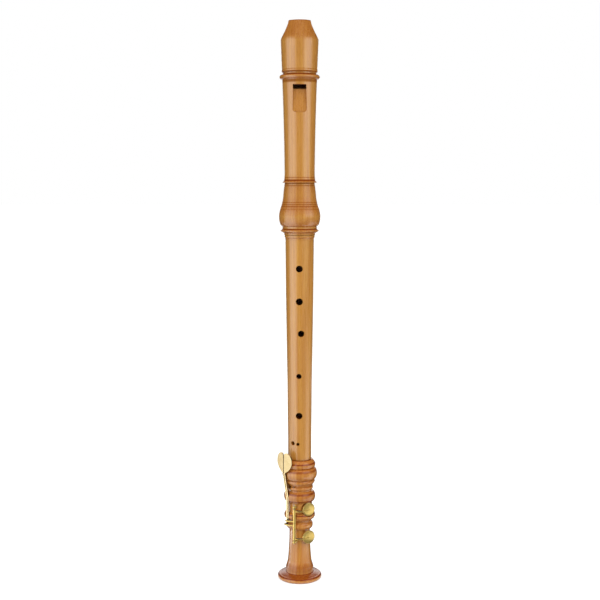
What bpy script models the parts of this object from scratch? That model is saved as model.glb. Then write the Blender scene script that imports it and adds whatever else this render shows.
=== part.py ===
"""Tenor recorder in three joints, with a double key for its two lowest tone holes.

Sizes are in metres. The instrument stands on its bell: the end face lies on Z = 0, the bore is
the Z axis and the finger holes look towards -Y. An azimuth is counted in degrees round the
bore from the front, positive towards +X.
"""
import math

import bmesh
import bpy
from mathutils import Matrix, Vector

# General
GAP = 0.0003                  # left between pieces that touch on the instrument
FACETS = 36                   # sides of the large turned pieces, a multiple of four
CUP_FACETS = 24               # sides of the pad cups and pads
SMALL_FACETS = 16             # sides of rods, tubes and posts
SCOOP_FACETS = 96             # sides of the large cylinder that hollows the beak's back
REACH = 0.030                 # how far a cutter stands out past the wood

# Bore and walls
BELL_BORE_RADIUS = 0.0086
FOOT_BORE_RADIUS = 0.0077
FOOT_BORE_TOP_RADIUS = 0.0083
BELL_BORE_FLARE = 0.012
MIDDLE_BORE_LOW_RADIUS = 0.0086
HEAD_BORE_RADIUS = 0.0123
UPPER_TENON_WALL = 0.0033
LOWER_TENON_WALL = 0.0037
CORK_THICKNESS = 0.0010
CORK_LENGTH = 0.019
UPPER_TENON_LENGTH = 0.032
LOWER_TENON_LENGTH = 0.027
TENON_LAND = 0.0055           # bare wood between the cork and the tenon's shoulder

# Foot joint, mouldings from the bell upwards
BELL_FACE_RADIUS = 0.0228
RIM_RADIUS = 0.0261
RIM_LOW_HEIGHT = 0.0026
RIM_HIGH_HEIGHT = 0.0032
RIM_TOP_RADIUS = 0.0234
RIM_SLOPE_HEIGHT = 0.0024
COLLAR_RADIUS = 0.0163
COLLAR_HEIGHT = 0.0056
FLARE_RADIUS = 0.0141
FLARE_HEIGHT = 0.0076
WAIST_RADIUS = 0.0121
WAIST_HOLLOW = 0.00055
WAIST_HEIGHT = 0.0397
SMALL_RING_RADIUS = 0.0156
SMALL_RING_HEIGHT = 0.0086
RING_GROOVE_RADIUS = 0.0134
RING_GROOVE_HEIGHT = 0.0030
LOWER_RING_RADIUS = 0.0182
LOWER_RING_HEIGHT = 0.0092
NECK_RADIUS = 0.0146
NECK_HEIGHT = 0.0121
MIDDLE_RING_RADIUS = 0.0185
MIDDLE_RING_HEIGHT = 0.0130
HOLLOW_RADIUS = 0.0142
HOLLOW_HEIGHT = 0.0020
FINE_BEAD_RADIUS = 0.0158
FINE_BEAD_HEIGHT = 0.0040
LIP_LOW_RADIUS = 0.0146
LIP_RADIUS = 0.0180
LIP_SLOPE_HEIGHT = 0.0050
LIP_HIGH_HEIGHT = 0.0030
LIP_TOP_RADIUS = 0.0166
BIG_BEAD_RADIUS = 0.0205
BIG_BEAD_HEIGHT = 0.0140
CROWN_GROOVE_RADIUS = 0.0166
CROWN_RADIUS = 0.0186
CROWN_LOW_HEIGHT = 0.0045
CROWN_HIGH_HEIGHT = 0.0055
CROWN_BULGE = 0.0005
CROWN_TOP_RADIUS = 0.0147

# Middle joint, from the foot upwards
SHANK_RADIUS = 0.0136
SHANK_HEIGHT = 0.026
LOWER_HAND_RADIUS = 0.0144
LOWER_HAND_HEIGHT = 0.066
UPPER_HAND_RADIUS = 0.0160
UPPER_HAND_HEIGHT = 0.106
MIDDLE_TOP_RADIUS = 0.0165
MIDDLE_TOP_HEIGHT = 0.0600
MIDDLE_BEAD_RADIUS = 0.0167
MIDDLE_BEAD_HEIGHT = 0.0018
FLANGE_RADIUS = 0.0174
FLANGE_HEIGHT = 0.0034

# Head joint, mouldings from the middle joint upwards
SOCKET_RIM_RADIUS = 0.0180
SOCKET_RIM_HEIGHT = 0.0018
SOCKET_COLLAR_RADIUS = 0.0220
SOCKET_FLARE_HEIGHT = 0.0024
SOCKET_EDGE_HEIGHT = 0.0010
SOCKET_SLOPE_HEIGHT = 0.0018
BULB_GROOVE_RADIUS = 0.0199
BULB_GROOVE_HEIGHT = 0.0028
BULB_RADIUS = 0.0240
BULB_LOW_HEIGHT = 0.0117
BULB_SHOULDER_RADIUS = 0.0213
BULB_SHOULDER_HEIGHT = 0.0115
BULB_BULGE = 0.0005
BULB_TOP_RADIUS = 0.0188
BULB_TOP_HEIGHT = 0.0147
BULB_NECK_RADIUS = 0.0173
BULB_NECK_HEIGHT = 0.0117
SHARP_COLLAR_RADIUS = 0.0197
SHARP_COLLAR_STEP = 0.0004
SHARP_COLLAR_EDGE = 0.0007
SHARP_COLLAR_SLOPE = 0.0016
STEM_FILLET_RADIUS = 0.0180
STEM_FILLET_HEIGHT = 0.0066
STEM_RADIUS = 0.0174
HEAD_WAIST_RADIUS = 0.0199
HEAD_WAIST_HEIGHT = 0.1073
HEAD_WAIST_HOLLOW = 0.0004
HEAD_RING_RADIUS = 0.0231
HEAD_RING_HEIGHT = 0.0058
HEAD_GROOVE_RADIUS = 0.0191
HEAD_GROOVE_HEIGHT = 0.0018
HEAD_BEAD_RADIUS = 0.0205
HEAD_BEAD_HEIGHT = 0.0036
CHEEK_LOW_RADIUS = 0.0203
CHEEK_RADIUS = 0.0216
CHEEK_HEIGHT = 0.0331
BEAK_HEIGHT = 0.0207
BEAK_FRONT_RADIUS = 0.0156    # how far the front of the tip stands from the bore's axis
BEAK_TIP_HALF_WIDTH = 0.0114
BEAK_SIDE_HALF_WIDTH = 0.0129
BEAK_SIDE_HOLLOW = 0.0008
BEAK_TIP_ROUNDING = 0.0030
BEAK_BACK_RADIUS = 0.0030     # how far the back of the tip stands before the bore's axis
BEAK_CUT_HEIGHT = 0.054
BEAK_CUT_RADIUS = 0.075

# Windway, window and ramp
WINDOW_DROP = 0.0063          # from the head's ring down to the top of the window
WINDOW_HEIGHT = 0.0049
WINDOW_WIDTH = 0.0152
RAMP_LENGTH = 0.0268
RAMP_WIDTH = 0.0160
RAMP_CORNER = 0.0040
RAMP_END_DEPTH = 0.0019       # how deep the ramp still is where it ends
RAMP_INSET = 0.0001           # the ramp starts this much narrower than the window on each side
LIP_THICKNESS = 0.0006        # wood left at the sharp edge of the ramp
WINDWAY_HEIGHT = 0.0016
WINDWAY_FLOOR_DROP = 0.0008   # floor of the windway inside the bore's radius

# Finger holes: height above the middle joint's shoulder, azimuth, diameter
FINGER_HOLES = (
    ("hole_1", 0.2249, -1.5, 0.0078),
    ("hole_2", 0.1870, -1.5, 0.0081),
    ("hole_3", 0.1498, 6.5, 0.0075),
    ("hole_4", 0.1000, -3.5, 0.0061),
    ("hole_5", 0.0532, -2.9, 0.0078),
    ("hole_6_small", 0.0195, -8.6, 0.0038),
    ("hole_6_large", 0.0203, -36.0, 0.0050),
)
THUMB_HOLE_RISE = 0.012       # above the first finger hole
THUMB_HOLE_DIAMETER = 0.0068

# Double key: layout round the foot
ROD_AZIMUTH = -20.0
ROD_RADIUS = 0.0185           # distance of the key rod from the bore's axis
PAD_AZIMUTH = 44.0
LEVER_AZIMUTH = -54.0
KEY_OPEN_ANGLE = 12.0
PAD_RISE = 0.0049             # from the foot of the neck up to the upper tone hole
KEY_SPACING = 0.0333          # from one tone hole to the other
TONE_HOLE_DIAMETER = 0.0072
SEAT_DEPTH = 0.0010           # pad seats lie this far inside the waist's radius

# Double key: tubes, cups and posts
KEY_ROD_DIAMETER = 0.0015
TUBE_WALL = 0.00055
UPPER_TUBE_SPARE = 0.0018     # tube above the upper key's arm
LOWER_TUBE_SPARE = 0.0004     # tube below the lower key's arm
TUBE_SPLIT_DROP = 0.0150      # the two tubes meet this far below the upper cup's centre
CUP_RADIUS = 0.0079
CUP_WALL = 0.0005
CUP_DEPTH = 0.0015            # inside depth of a pad cup
CUP_CROWN = 0.0014            # metal over the pad at the cup's centre
CUP_SHOULDER = 0.0003         # height of the cup's side above its floor
PAD_THICKNESS = 0.0022
POCKET_CLEARANCE = 0.0013
ARM_RADIUS = 0.0008
ARM_DROP = 0.0012             # the arm joins the tube this far below the cup's centre
ARM_FOOT_TURN = 3.0           # the arm stays level with the tube this much longer, in degrees
ARM_CREST_TURN = 12.0         # the arm reaches its crest this far before the cup's centre
ARM_CREST_RISE = 0.0008       # from the cup's crown out to the arm's crest
ARM_SINK = 0.0001             # the arm's end lies this deep in the crown
TAIL_RADIUS = 0.0009
TAIL_SPACING = 0.0048         # from one tail down to the other
TAIL_END_LENGTH = 0.0011
POST_BALL_RADIUS = 0.0021
POST_STEM_RADIUS = 0.0012
POST_SHANK_RADIUS = 0.0010
POST_SHANK_DEPTH = 0.0025
POST_FLANGE_RADIUS = 0.0022
POST_FLANGE_HEIGHT = 0.0007
SPRING_THICKNESS = 0.00035
SPRING_WIDTH = 0.0018
SPRING_LENGTH = 0.0066
SPRING_DROP = 0.0018          # from the arm's underside to the middle of the spring

# Double key: see-saw levers and their touches
PIN_RADIUS = 0.0130           # distance of the pivot pin from the bore's axis
PIN_RISE = 0.0008             # from the foot of the lip bead up to the pin
PIN_DIAMETER = 0.0016
PIN_LENGTH = 0.0134
LUG_RADIUS = 0.0020
LEVER_WIDTH = 0.0020
LEVER_THICKNESS = 0.0018
LEVER_SPLIT = 0.0004          # gap between the two levers
LEVER_LOW_RADIUS = 0.0182     # outer face of the lower run
LEVER_HIGH_RADIUS = 0.0228    # outer face of the upper run
LEVER_OVERLAP = 0.0007        # a lever reaches this far below its tail's underside
LEVER_SHOULDER_RISE = 0.0147  # from the pin up to the upper run
LEVER_PRESS_ANGLE = 3.1
LEVER_TOUCH_SHARE = 0.8       # the lever backs this much of its touch
LEVER_END_THICKNESS = 0.0008
LEVER_END_TAPER = 0.006
TOUCH_RISE = 0.0165           # from the pin up to the touch's lower end
TOUCH_LENGTH = 0.0242
TOUCH_WIDTH = 0.0116
TOUCH_THICKNESS = 0.0012
TOUCH_TURN = 18.0             # the touch nearer the front faces this much more forward
TOUCH_INSET = 0.00015         # a touch starts this far from its lever's inner side
FELT_THICKNESS = 0.0007
FELT_HEIGHT = 0.0026
BUMPER_THICKNESS = 0.0007
BUMPER_HEIGHT = 0.0030
BUMPER_SHARE = 0.9            # how far up the crown the bumper's middle lies

# Heights that follow from the sizes
RIM_TOP = RIM_LOW_HEIGHT + RIM_HIGH_HEIGHT
COLLAR_BASE = RIM_TOP + RIM_SLOPE_HEIGHT
WAIST_BASE = COLLAR_BASE + COLLAR_HEIGHT + FLARE_HEIGHT
SMALL_RING_BASE = WAIST_BASE + WAIST_HEIGHT
LOWER_RING_BASE = SMALL_RING_BASE + SMALL_RING_HEIGHT + RING_GROOVE_HEIGHT
NECK_BASE = LOWER_RING_BASE + LOWER_RING_HEIGHT
MIDDLE_RING_BASE = NECK_BASE + NECK_HEIGHT
FINE_BEAD_BASE = MIDDLE_RING_BASE + MIDDLE_RING_HEIGHT + HOLLOW_HEIGHT
LIP_BASE = FINE_BEAD_BASE + FINE_BEAD_HEIGHT
BIG_BEAD_BASE = LIP_BASE + LIP_SLOPE_HEIGHT + LIP_HIGH_HEIGHT
CROWN_BASE = BIG_BEAD_BASE + BIG_BEAD_HEIGHT
FOOT_TOP = CROWN_BASE + CROWN_LOW_HEIGHT + CROWN_HIGH_HEIGHT
SHOULDER = FOOT_TOP + GAP
MIDDLE_TOP = (SHOULDER + SHANK_HEIGHT + LOWER_HAND_HEIGHT + UPPER_HAND_HEIGHT
              + MIDDLE_TOP_HEIGHT + MIDDLE_BEAD_HEIGHT + FLANGE_HEIGHT)
HEAD_BASE = MIDDLE_TOP + GAP
BULB_BASE = (HEAD_BASE + SOCKET_RIM_HEIGHT + SOCKET_FLARE_HEIGHT + SOCKET_EDGE_HEIGHT
             + SOCKET_SLOPE_HEIGHT + BULB_GROOVE_HEIGHT)
SHARP_COLLAR_BASE = (BULB_BASE + BULB_LOW_HEIGHT + BULB_SHOULDER_HEIGHT + BULB_TOP_HEIGHT
                     + BULB_NECK_HEIGHT)
HEAD_WAIST_BASE = (SHARP_COLLAR_BASE + SHARP_COLLAR_STEP + SHARP_COLLAR_EDGE + SHARP_COLLAR_SLOPE
                   + STEM_FILLET_HEIGHT)
HEAD_RING_BASE = HEAD_WAIST_BASE + HEAD_WAIST_HEIGHT
CHEEK_BASE = HEAD_RING_BASE + HEAD_RING_HEIGHT + HEAD_GROOVE_HEIGHT + HEAD_BEAD_HEIGHT
BEAK_BASE = CHEEK_BASE + CHEEK_HEIGHT
HEAD_TOP = BEAK_BASE + BEAK_HEIGHT
WINDOW_TOP = HEAD_RING_BASE - WINDOW_DROP
WINDOW_BASE = WINDOW_TOP - WINDOW_HEIGHT

# Radii that follow from the sizes
UPPER_TENON_RADIUS = HEAD_BORE_RADIUS + UPPER_TENON_WALL
LOWER_TENON_RADIUS = MIDDLE_BORE_LOW_RADIUS + LOWER_TENON_WALL
UPPER_SOCKET_RADIUS = UPPER_TENON_RADIUS + GAP
LOWER_SOCKET_RADIUS = LOWER_TENON_RADIUS + GAP
SEAT_RADIUS = WAIST_RADIUS - SEAT_DEPTH
PAD_BASE_RADIUS = SEAT_RADIUS + GAP
CUP_FLOOR_RADIUS = PAD_BASE_RADIUS + PAD_THICKNESS + GAP
ROD_HOLE_RADIUS = KEY_ROD_DIAMETER / 2 + GAP
TUBE_RADIUS = ROD_HOLE_RADIUS + TUBE_WALL
LEVER_LOW_INNER = LEVER_LOW_RADIUS - LEVER_THICKNESS
LEVER_HIGH_INNER = LEVER_HIGH_RADIUS - LEVER_THICKNESS
TAIL_AXIS_RADIUS = LEVER_LOW_RADIUS + 2 * GAP + FELT_THICKNESS + TAIL_RADIUS

# Heights of the key work
UPPER_PAD_HEIGHT = NECK_BASE + PAD_RISE
LOWER_PAD_HEIGHT = UPPER_PAD_HEIGHT - KEY_SPACING
PIN_HEIGHT = LIP_BASE + PIN_RISE
LEVER_BEND_HEIGHT = MIDDLE_RING_BASE + MIDDLE_RING_HEIGHT / 2
POST_OFFSET = ARM_RADIUS + GAP + POST_BALL_RADIUS
UPPER_POST_HEIGHT = UPPER_PAD_HEIGHT - ARM_DROP + POST_OFFSET + UPPER_TUBE_SPARE
LOWER_POST_HEIGHT = LOWER_PAD_HEIGHT - ARM_DROP - POST_OFFSET - LOWER_TUBE_SPARE
TUBE_TOP = UPPER_POST_HEIGHT - POST_BALL_RADIUS - GAP
TUBE_BOTTOM = LOWER_POST_HEIGHT + POST_BALL_RADIUS + GAP
TUBE_SPLIT = UPPER_PAD_HEIGHT - TUBE_SPLIT_DROP
UPPER_TAIL_HEIGHT = TUBE_SPLIT + 2 * GAP + TAIL_RADIUS
LOWER_TAIL_HEIGHT = UPPER_TAIL_HEIGHT - TAIL_SPACING


def clear_scene():
    for item in list(bpy.data.objects):
        bpy.data.objects.remove(item, do_unlink=True)


def new_collection(name):
    collection = bpy.data.collections.new(name)
    bpy.context.scene.collection.children.link(collection)
    return collection


def make_material(name, colour, roughness, metallic=0.0):
    material = bpy.data.materials.new(name)
    material.use_nodes = True
    shader = material.node_tree.nodes["Principled BSDF"]
    shader.inputs["Base Color"].default_value = (*colour, 1.0)
    shader.inputs["Roughness"].default_value = roughness
    shader.inputs["Metallic"].default_value = metallic
    return material


def radial(azimuth):
    """Unit vector that points outwards from the bore at an azimuth."""
    angle = math.radians(azimuth)
    return Vector((math.sin(angle), -math.cos(angle), 0.0))


def tangent(azimuth):
    """Unit vector round the bore, towards larger azimuths."""
    angle = math.radians(azimuth)
    return Vector((math.cos(angle), math.sin(angle), 0.0))


def place(azimuth, radius, height, along=0.0):
    """Point at a radius and height, moved along the tangent."""
    return radial(azimuth) * radius + tangent(azimuth) * along + Vector((0.0, 0.0, height))


def basis(x_axis, y_axis, z_axis, origin):
    matrix = Matrix((x_axis, y_axis, z_axis)).transposed().to_4x4()
    matrix.translation = origin
    return matrix


def facing(azimuth, radius=0.0, height=0.0):
    """Frame whose Z looks outwards, with Y up and X along the tangent."""
    origin = place(azimuth, radius, height)
    return basis(tangent(azimuth), Vector((0, 0, 1)), radial(azimuth), origin)


def profile_plane(azimuth, along=0.0):
    """Frame for an outline drawn as radius and height, thick along the tangent."""
    return basis(radial(azimuth), Vector((0, 0, 1)), -tangent(azimuth), tangent(azimuth) * along)


def add_object(name, data, collection, matrix=None, material=None):
    item = bpy.data.objects.new(name, data)
    collection.objects.link(item)
    if matrix is not None:
        item.matrix_world = matrix
    if material is not None:
        data.materials.append(material)
    return item


def smooth(mesh, angle=40.0):
    mesh.shade_smooth()
    mesh.set_sharp_from_angle(angle=math.radians(angle))


class Turning:
    """Half outline of a turned piece, built upwards from its lower end."""

    def __init__(self, radius, height):
        self.points = [(radius, height)]

    def line(self, radius, rise=0.0):
        self.points.append((radius, self.points[-1][1] + rise))
        return self

    def swell(self, radius, rise, parts=3):
        """Quarter ellipse that leaves square to the bore and ends along it."""
        start, base = self.points[-1]
        for part in range(1, parts + 1):
            turn = math.pi / 2 * part / parts
            height = base + rise * (1 - math.cos(turn))
            self.points.append((start + (radius - start) * math.sin(turn), height))
        return self

    def fall(self, radius, rise, parts=3):
        """Quarter ellipse that leaves along the bore and ends square to it."""
        start, base = self.points[-1]
        for part in range(1, parts + 1):
            turn = math.pi / 2 * part / parts
            height = base + rise * math.sin(turn)
            self.points.append((radius + (start - radius) * math.cos(turn), height))
        return self

    def bead(self, peak, rise, radius, parts=3):
        self.swell(peak, rise / 2, parts)
        return self.fall(radius, rise / 2, parts)

    def bow(self, radius, rise, bulge, parts=4):
        """Shallow arc; a negative bulge is hollow."""
        start, base = self.points[-1]
        for part in range(1, parts + 1):
            share = part / parts
            swelling = 4 * bulge * share * (1 - share)
            self.points.append((start + (radius - start) * share + swelling, base + rise * share))
        return self


def spin(item, steps):
    screw = item.modifiers.new("Turn", "SCREW")
    screw.axis = "Z"
    screw.angle = 2 * math.pi
    screw.screw_offset = 0.0
    screw.steps = steps
    screw.render_steps = steps
    screw.use_merge_vertices = True
    screw.merge_threshold = 0.00001
    screw.use_smooth_shade = True


def turned(name, outline, collection, material=None, matrix=None, steps=FACETS, closed=True):
    """Turn an outline, given from its top down the outside, round the local Z axis."""
    mesh = bpy.data.meshes.new(name)
    edges = [(index, index + 1) for index in range(len(outline) - 1)]
    if closed:
        edges.append((len(outline) - 1, 0))
    mesh.from_pydata([(radius, 0.0, height) for radius, height in outline], edges, [])
    item = add_object(name, mesh, collection, matrix, material)
    spin(item, steps)
    return item


def baked(item, name):
    """Mesh of an object as it is evaluated, in world space, with its caps welded."""
    bpy.context.view_layer.update()
    evaluated = item.evaluated_get(bpy.context.evaluated_depsgraph_get())
    mesh = bpy.data.meshes.new_from_object(evaluated)
    mesh.name = name
    matrix = item.matrix_world.copy()
    bpy.data.objects.remove(item, do_unlink=True)
    shape = bmesh.new()
    shape.from_mesh(mesh)
    bmesh.ops.remove_doubles(shape, verts=shape.verts, dist=0.000001)
    bmesh.ops.recalc_face_normals(shape, faces=shape.faces)
    shape.to_mesh(mesh)
    shape.free()
    return mesh, matrix


def from_curve(name, curve, collection, matrix, material=None):
    mesh, world = baked(add_object(name, curve, collection, matrix), name)
    smooth(mesh)
    return add_object(name, mesh, collection, world, material)


def plate(name, outline, thickness, matrix, collection, material=None, rounded=False):
    """Flat outline in the frame's XY plane, as thick to either side of it.

    A rounded outline is smooth at all its points but the first and the last.
    """
    curve = bpy.data.curves.new(name, "CURVE")
    curve.dimensions = "2D"
    curve.fill_mode = "BOTH"
    curve.extrude = thickness / 2
    curve.resolution_u = 4
    spline = curve.splines.new("BEZIER" if rounded else "POLY")
    points = spline.bezier_points if rounded else spline.points
    points.add(len(outline) - 1)
    for index, (along, up) in enumerate(outline):
        point = points[index]
        if rounded:
            corner = index in (0, len(outline) - 1)
            point.co = (along, up, 0.0)
            point.handle_left_type = "VECTOR" if corner else "AUTO"
            point.handle_right_type = "VECTOR" if corner else "AUTO"
        else:
            point.co = (along, up, 0.0, 1.0)
    spline.use_cyclic_u = True
    return from_curve(name, curve, collection, matrix, material)


def bar(name, points, radius, collection, material=None):
    """Round bar through world points."""
    curve = bpy.data.curves.new(name, "CURVE")
    curve.dimensions = "3D"
    curve.bevel_depth = radius
    curve.bevel_resolution = 2
    curve.use_fill_caps = True
    spline = curve.splines.new("POLY")
    spline.points.add(len(points) - 1)
    for target, point in zip(spline.points, points):
        target.co = (*point, 1.0)
    return from_curve(name, curve, collection, Matrix.Identity(4), material)


def rod(name, radius, length, matrix, collection, material=None, sides=SMALL_FACETS):
    """Cylinder that starts at the frame's origin and runs along its Z."""
    mesh = bpy.data.meshes.new(name)
    shape = bmesh.new()
    half_turn = Matrix.Rotation(math.pi / sides, 4, "Z")
    bmesh.ops.create_cone(shape, cap_ends=True, segments=sides, radius1=radius, radius2=radius,
                          depth=length, matrix=Matrix.Translation((0, 0, length / 2)) @ half_turn)
    shape.to_mesh(mesh)
    shape.free()
    smooth(mesh)
    return add_object(name, mesh, collection, matrix, material)


def block(name, size, matrix, collection, material=None):
    """Box of a size, centred on the frame's origin."""
    mesh = bpy.data.meshes.new(name)
    shape = bmesh.new()
    bmesh.ops.create_cube(shape, size=1.0, matrix=Matrix.Diagonal((*size, 1.0)))
    shape.to_mesh(mesh)
    shape.free()
    return add_object(name, mesh, collection, matrix, material)


def combine(target, other, operation):
    other.hide_render = True
    other.display_type = "WIRE"
    modifier = target.modifiers.new(other.name, "BOOLEAN")
    modifier.operation = operation
    modifier.solver = "EXACT"
    modifier.object = other


def cut(target, *cutters):
    for cutter in cutters:
        combine(target, cutter, "DIFFERENCE")


def join(target, *others):
    for other in others:
        combine(target, other, "UNION")


def hinged(name, frame, collection, *items):
    """Empty whose Z is a hinge's axis, as the parent of what turns on it."""
    pivot = add_object(name, None, collection, frame)
    pivot.empty_display_size = PIN_LENGTH
    for item in items:
        item.parent = pivot
        item.matrix_parent_inverse = frame.inverted()


def pin_frame(along=0.0):
    """Frame on the levers' pin, with its Z along the pin and away from the viewer's right."""
    origin = place(LEVER_AZIMUTH, PIN_RADIUS, PIN_HEIGHT, along)
    return basis(radial(LEVER_AZIMUTH), Vector((0, 0, 1)), -tangent(LEVER_AZIMUTH), origin)


def foot_outline():
    foot = Turning(BELL_FACE_RADIUS, 0.0)
    foot.swell(RIM_RADIUS, RIM_LOW_HEIGHT, 2)
    foot.fall(RIM_TOP_RADIUS, RIM_HIGH_HEIGHT)
    foot.line(COLLAR_RADIUS, RIM_SLOPE_HEIGHT)
    foot.line(COLLAR_RADIUS, COLLAR_HEIGHT)
    foot.line(FLARE_RADIUS, FLARE_HEIGHT)
    foot.bow(WAIST_RADIUS, WAIST_HEIGHT, -WAIST_HOLLOW)
    foot.bead(SMALL_RING_RADIUS, SMALL_RING_HEIGHT, RING_GROOVE_RADIUS, 2)
    foot.line(RING_GROOVE_RADIUS, RING_GROOVE_HEIGHT)
    foot.bead(LOWER_RING_RADIUS, LOWER_RING_HEIGHT, NECK_RADIUS)
    foot.line(NECK_RADIUS, NECK_HEIGHT)
    foot.bead(MIDDLE_RING_RADIUS, MIDDLE_RING_HEIGHT, HOLLOW_RADIUS)
    foot.line(HOLLOW_RADIUS, HOLLOW_HEIGHT)
    foot.bead(FINE_BEAD_RADIUS, FINE_BEAD_HEIGHT, LIP_LOW_RADIUS, 2)
    foot.line(LIP_RADIUS, LIP_SLOPE_HEIGHT)
    foot.fall(LIP_TOP_RADIUS, LIP_HIGH_HEIGHT, 2)
    foot.bead(BIG_BEAD_RADIUS, BIG_BEAD_HEIGHT, CROWN_GROOVE_RADIUS)
    foot.swell(CROWN_RADIUS, CROWN_LOW_HEIGHT, 2)
    foot.bow(CROWN_TOP_RADIUS, CROWN_HIGH_HEIGHT, CROWN_BULGE, 3)
    return foot.points


def make_foot(parts, cutters, wood):
    socket_floor = FOOT_TOP - LOWER_TENON_LENGTH
    bore = [(BELL_BORE_RADIUS, 0.0), (FOOT_BORE_RADIUS, BELL_BORE_FLARE),
            (FOOT_BORE_TOP_RADIUS, socket_floor), (LOWER_SOCKET_RADIUS, socket_floor),
            (LOWER_SOCKET_RADIUS, FOOT_TOP)]
    foot = turned("foot_joint", foot_outline()[::-1] + bore, parts, wood)

    press = math.tan(math.radians(LEVER_PRESS_ANGLE))
    lug_floor = PIN_RADIUS - LUG_RADIUS - GAP
    lug_half = LUG_RADIUS + GAP
    low_floor = LEVER_LOW_INNER - GAP
    slope = (LEVER_HIGH_INNER - LEVER_LOW_INNER) / (PIN_HEIGHT + LEVER_SHOULDER_RISE - LEVER_BEND_HEIGHT)
    above_lug = LEVER_LOW_INNER + slope * (PIN_HEIGHT + lug_half - LEVER_BEND_HEIGHT) - 2 * GAP
    shoulder_floor = LEVER_HIGH_INNER - LEVER_SHOULDER_RISE * press - GAP
    channel_top = CROWN_BASE + CROWN_LOW_HEIGHT / 2
    channel_floor = [
        (low_floor, LOWER_TAIL_HEIGHT),
        (low_floor, PIN_HEIGHT - lug_half),
        (lug_floor, PIN_HEIGHT - lug_half),
        (lug_floor, PIN_HEIGHT + lug_half),
        (above_lug, PIN_HEIGHT + lug_half),
        (shoulder_floor, PIN_HEIGHT + LEVER_SHOULDER_RISE),
        (shoulder_floor, channel_top),
    ]
    channel = channel_floor + [(REACH, channel_top), (REACH, LOWER_TAIL_HEIGHT)]
    channel_width = 2 * LEVER_WIDTH + LEVER_SPLIT + 4 * GAP
    cut(foot, plate("lever_channel", channel, channel_width, profile_plane(LEVER_AZIMUTH), cutters))

    cut(foot, rod("pin_hole", PIN_DIAMETER / 2 + GAP, 2 * REACH, pin_frame(REACH), cutters))

    tube_path = [(ROD_RADIUS - TUBE_RADIUS - 3 * GAP, LOWER_POST_HEIGHT + POST_FLANGE_RADIUS),
                 (REACH, LOWER_POST_HEIGHT + POST_FLANGE_RADIUS),
                 (REACH, MIDDLE_RING_BASE + POST_FLANGE_RADIUS),
                 (ROD_RADIUS - TUBE_RADIUS - 3 * GAP, MIDDLE_RING_BASE + POST_FLANGE_RADIUS)]
    tube_channel_width = 2 * (POST_BALL_RADIUS + 3 * GAP)
    cut(foot, plate("tube_channel", tube_path, tube_channel_width, profile_plane(ROD_AZIMUTH), cutters))

    for label, height in (("c_sharp", UPPER_PAD_HEIGHT), ("c", LOWER_PAD_HEIGHT)):
        seat = facing(PAD_AZIMUTH, SEAT_RADIUS, height)
        pocket_radius = CUP_RADIUS + POCKET_CLEARANCE
        cut(foot, rod(label + "_pocket", pocket_radius, REACH, seat, cutters, sides=CUP_FACETS))
        bore_side = facing(PAD_AZIMUTH, 0.0, height)
        cut(foot, rod(label + "_tone_hole", TONE_HOLE_DIAMETER / 2, REACH, bore_side, cutters))

    for label, height, surface in (("upper", UPPER_POST_HEIGHT, NECK_RADIUS),
                                   ("lower", LOWER_POST_HEIGHT, WAIST_RADIUS)):
        floor = facing(ROD_AZIMUTH, surface - POST_SHANK_DEPTH - 2 * GAP, height)
        cut(foot, rod(label + "_post_hole", POST_SHANK_RADIUS + GAP, REACH, floor, cutters))


def make_middle(parts, cutters, wood, cork):
    tenon_base = FOOT_TOP - LOWER_TENON_LENGTH + 2 * GAP
    tenon_top = MIDDLE_TOP + UPPER_TENON_LENGTH - 2 * GAP
    lower_groove = LOWER_TENON_RADIUS - CORK_THICKNESS - GAP
    upper_groove = UPPER_TENON_RADIUS - CORK_THICKNESS - GAP
    lower_cork = SHOULDER - TENON_LAND - CORK_LENGTH
    upper_cork = MIDDLE_TOP + TENON_LAND

    middle = Turning(LOWER_TENON_RADIUS, tenon_base)
    middle.line(LOWER_TENON_RADIUS, lower_cork - GAP - tenon_base)
    middle.line(lower_groove)
    middle.line(lower_groove, CORK_LENGTH + 2 * GAP)
    middle.line(LOWER_TENON_RADIUS)
    middle.line(LOWER_TENON_RADIUS, TENON_LAND - GAP)
    middle.line(SHANK_RADIUS)
    middle.line(SHANK_RADIUS, SHANK_HEIGHT)
    middle.line(LOWER_HAND_RADIUS, LOWER_HAND_HEIGHT)
    middle.line(UPPER_HAND_RADIUS, UPPER_HAND_HEIGHT)
    middle.line(MIDDLE_TOP_RADIUS, MIDDLE_TOP_HEIGHT)
    middle.bead(MIDDLE_BEAD_RADIUS, MIDDLE_BEAD_HEIGHT, MIDDLE_TOP_RADIUS, 1)
    middle.bead(FLANGE_RADIUS, FLANGE_HEIGHT, FLANGE_RADIUS, 2)
    middle.line(UPPER_TENON_RADIUS)
    middle.line(UPPER_TENON_RADIUS, TENON_LAND - GAP)
    middle.line(upper_groove)
    middle.line(upper_groove, CORK_LENGTH + 2 * GAP)
    middle.line(UPPER_TENON_RADIUS)
    middle.line(UPPER_TENON_RADIUS, tenon_top - middle.points[-1][1])
    bore = [(MIDDLE_BORE_LOW_RADIUS, tenon_base), (HEAD_BORE_RADIUS, tenon_top)]
    joint = turned("middle_joint", middle.points[::-1] + bore, parts, wood)

    for label, rise, azimuth, diameter in FINGER_HOLES:
        frame = facing(azimuth, 0.0, SHOULDER + rise)
        cut(joint, rod(label, diameter / 2, REACH, frame, cutters))
    thumb = facing(180.0, 0.0, SHOULDER + FINGER_HOLES[0][1] + THUMB_HOLE_RISE)
    cut(joint, rod("thumb_hole", THUMB_HOLE_DIAMETER / 2, REACH, thumb, cutters))

    corks = (("lower_tenon_cork", lower_groove, LOWER_TENON_RADIUS, lower_cork),
             ("upper_tenon_cork", upper_groove, UPPER_TENON_RADIUS, upper_cork))
    for name, groove, tenon, base in corks:
        ring = [(tenon, base + CORK_LENGTH), (tenon, base), (groove + GAP, base),
                (groove + GAP, base + CORK_LENGTH)]
        turned(name, ring, parts, cork)


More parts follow.
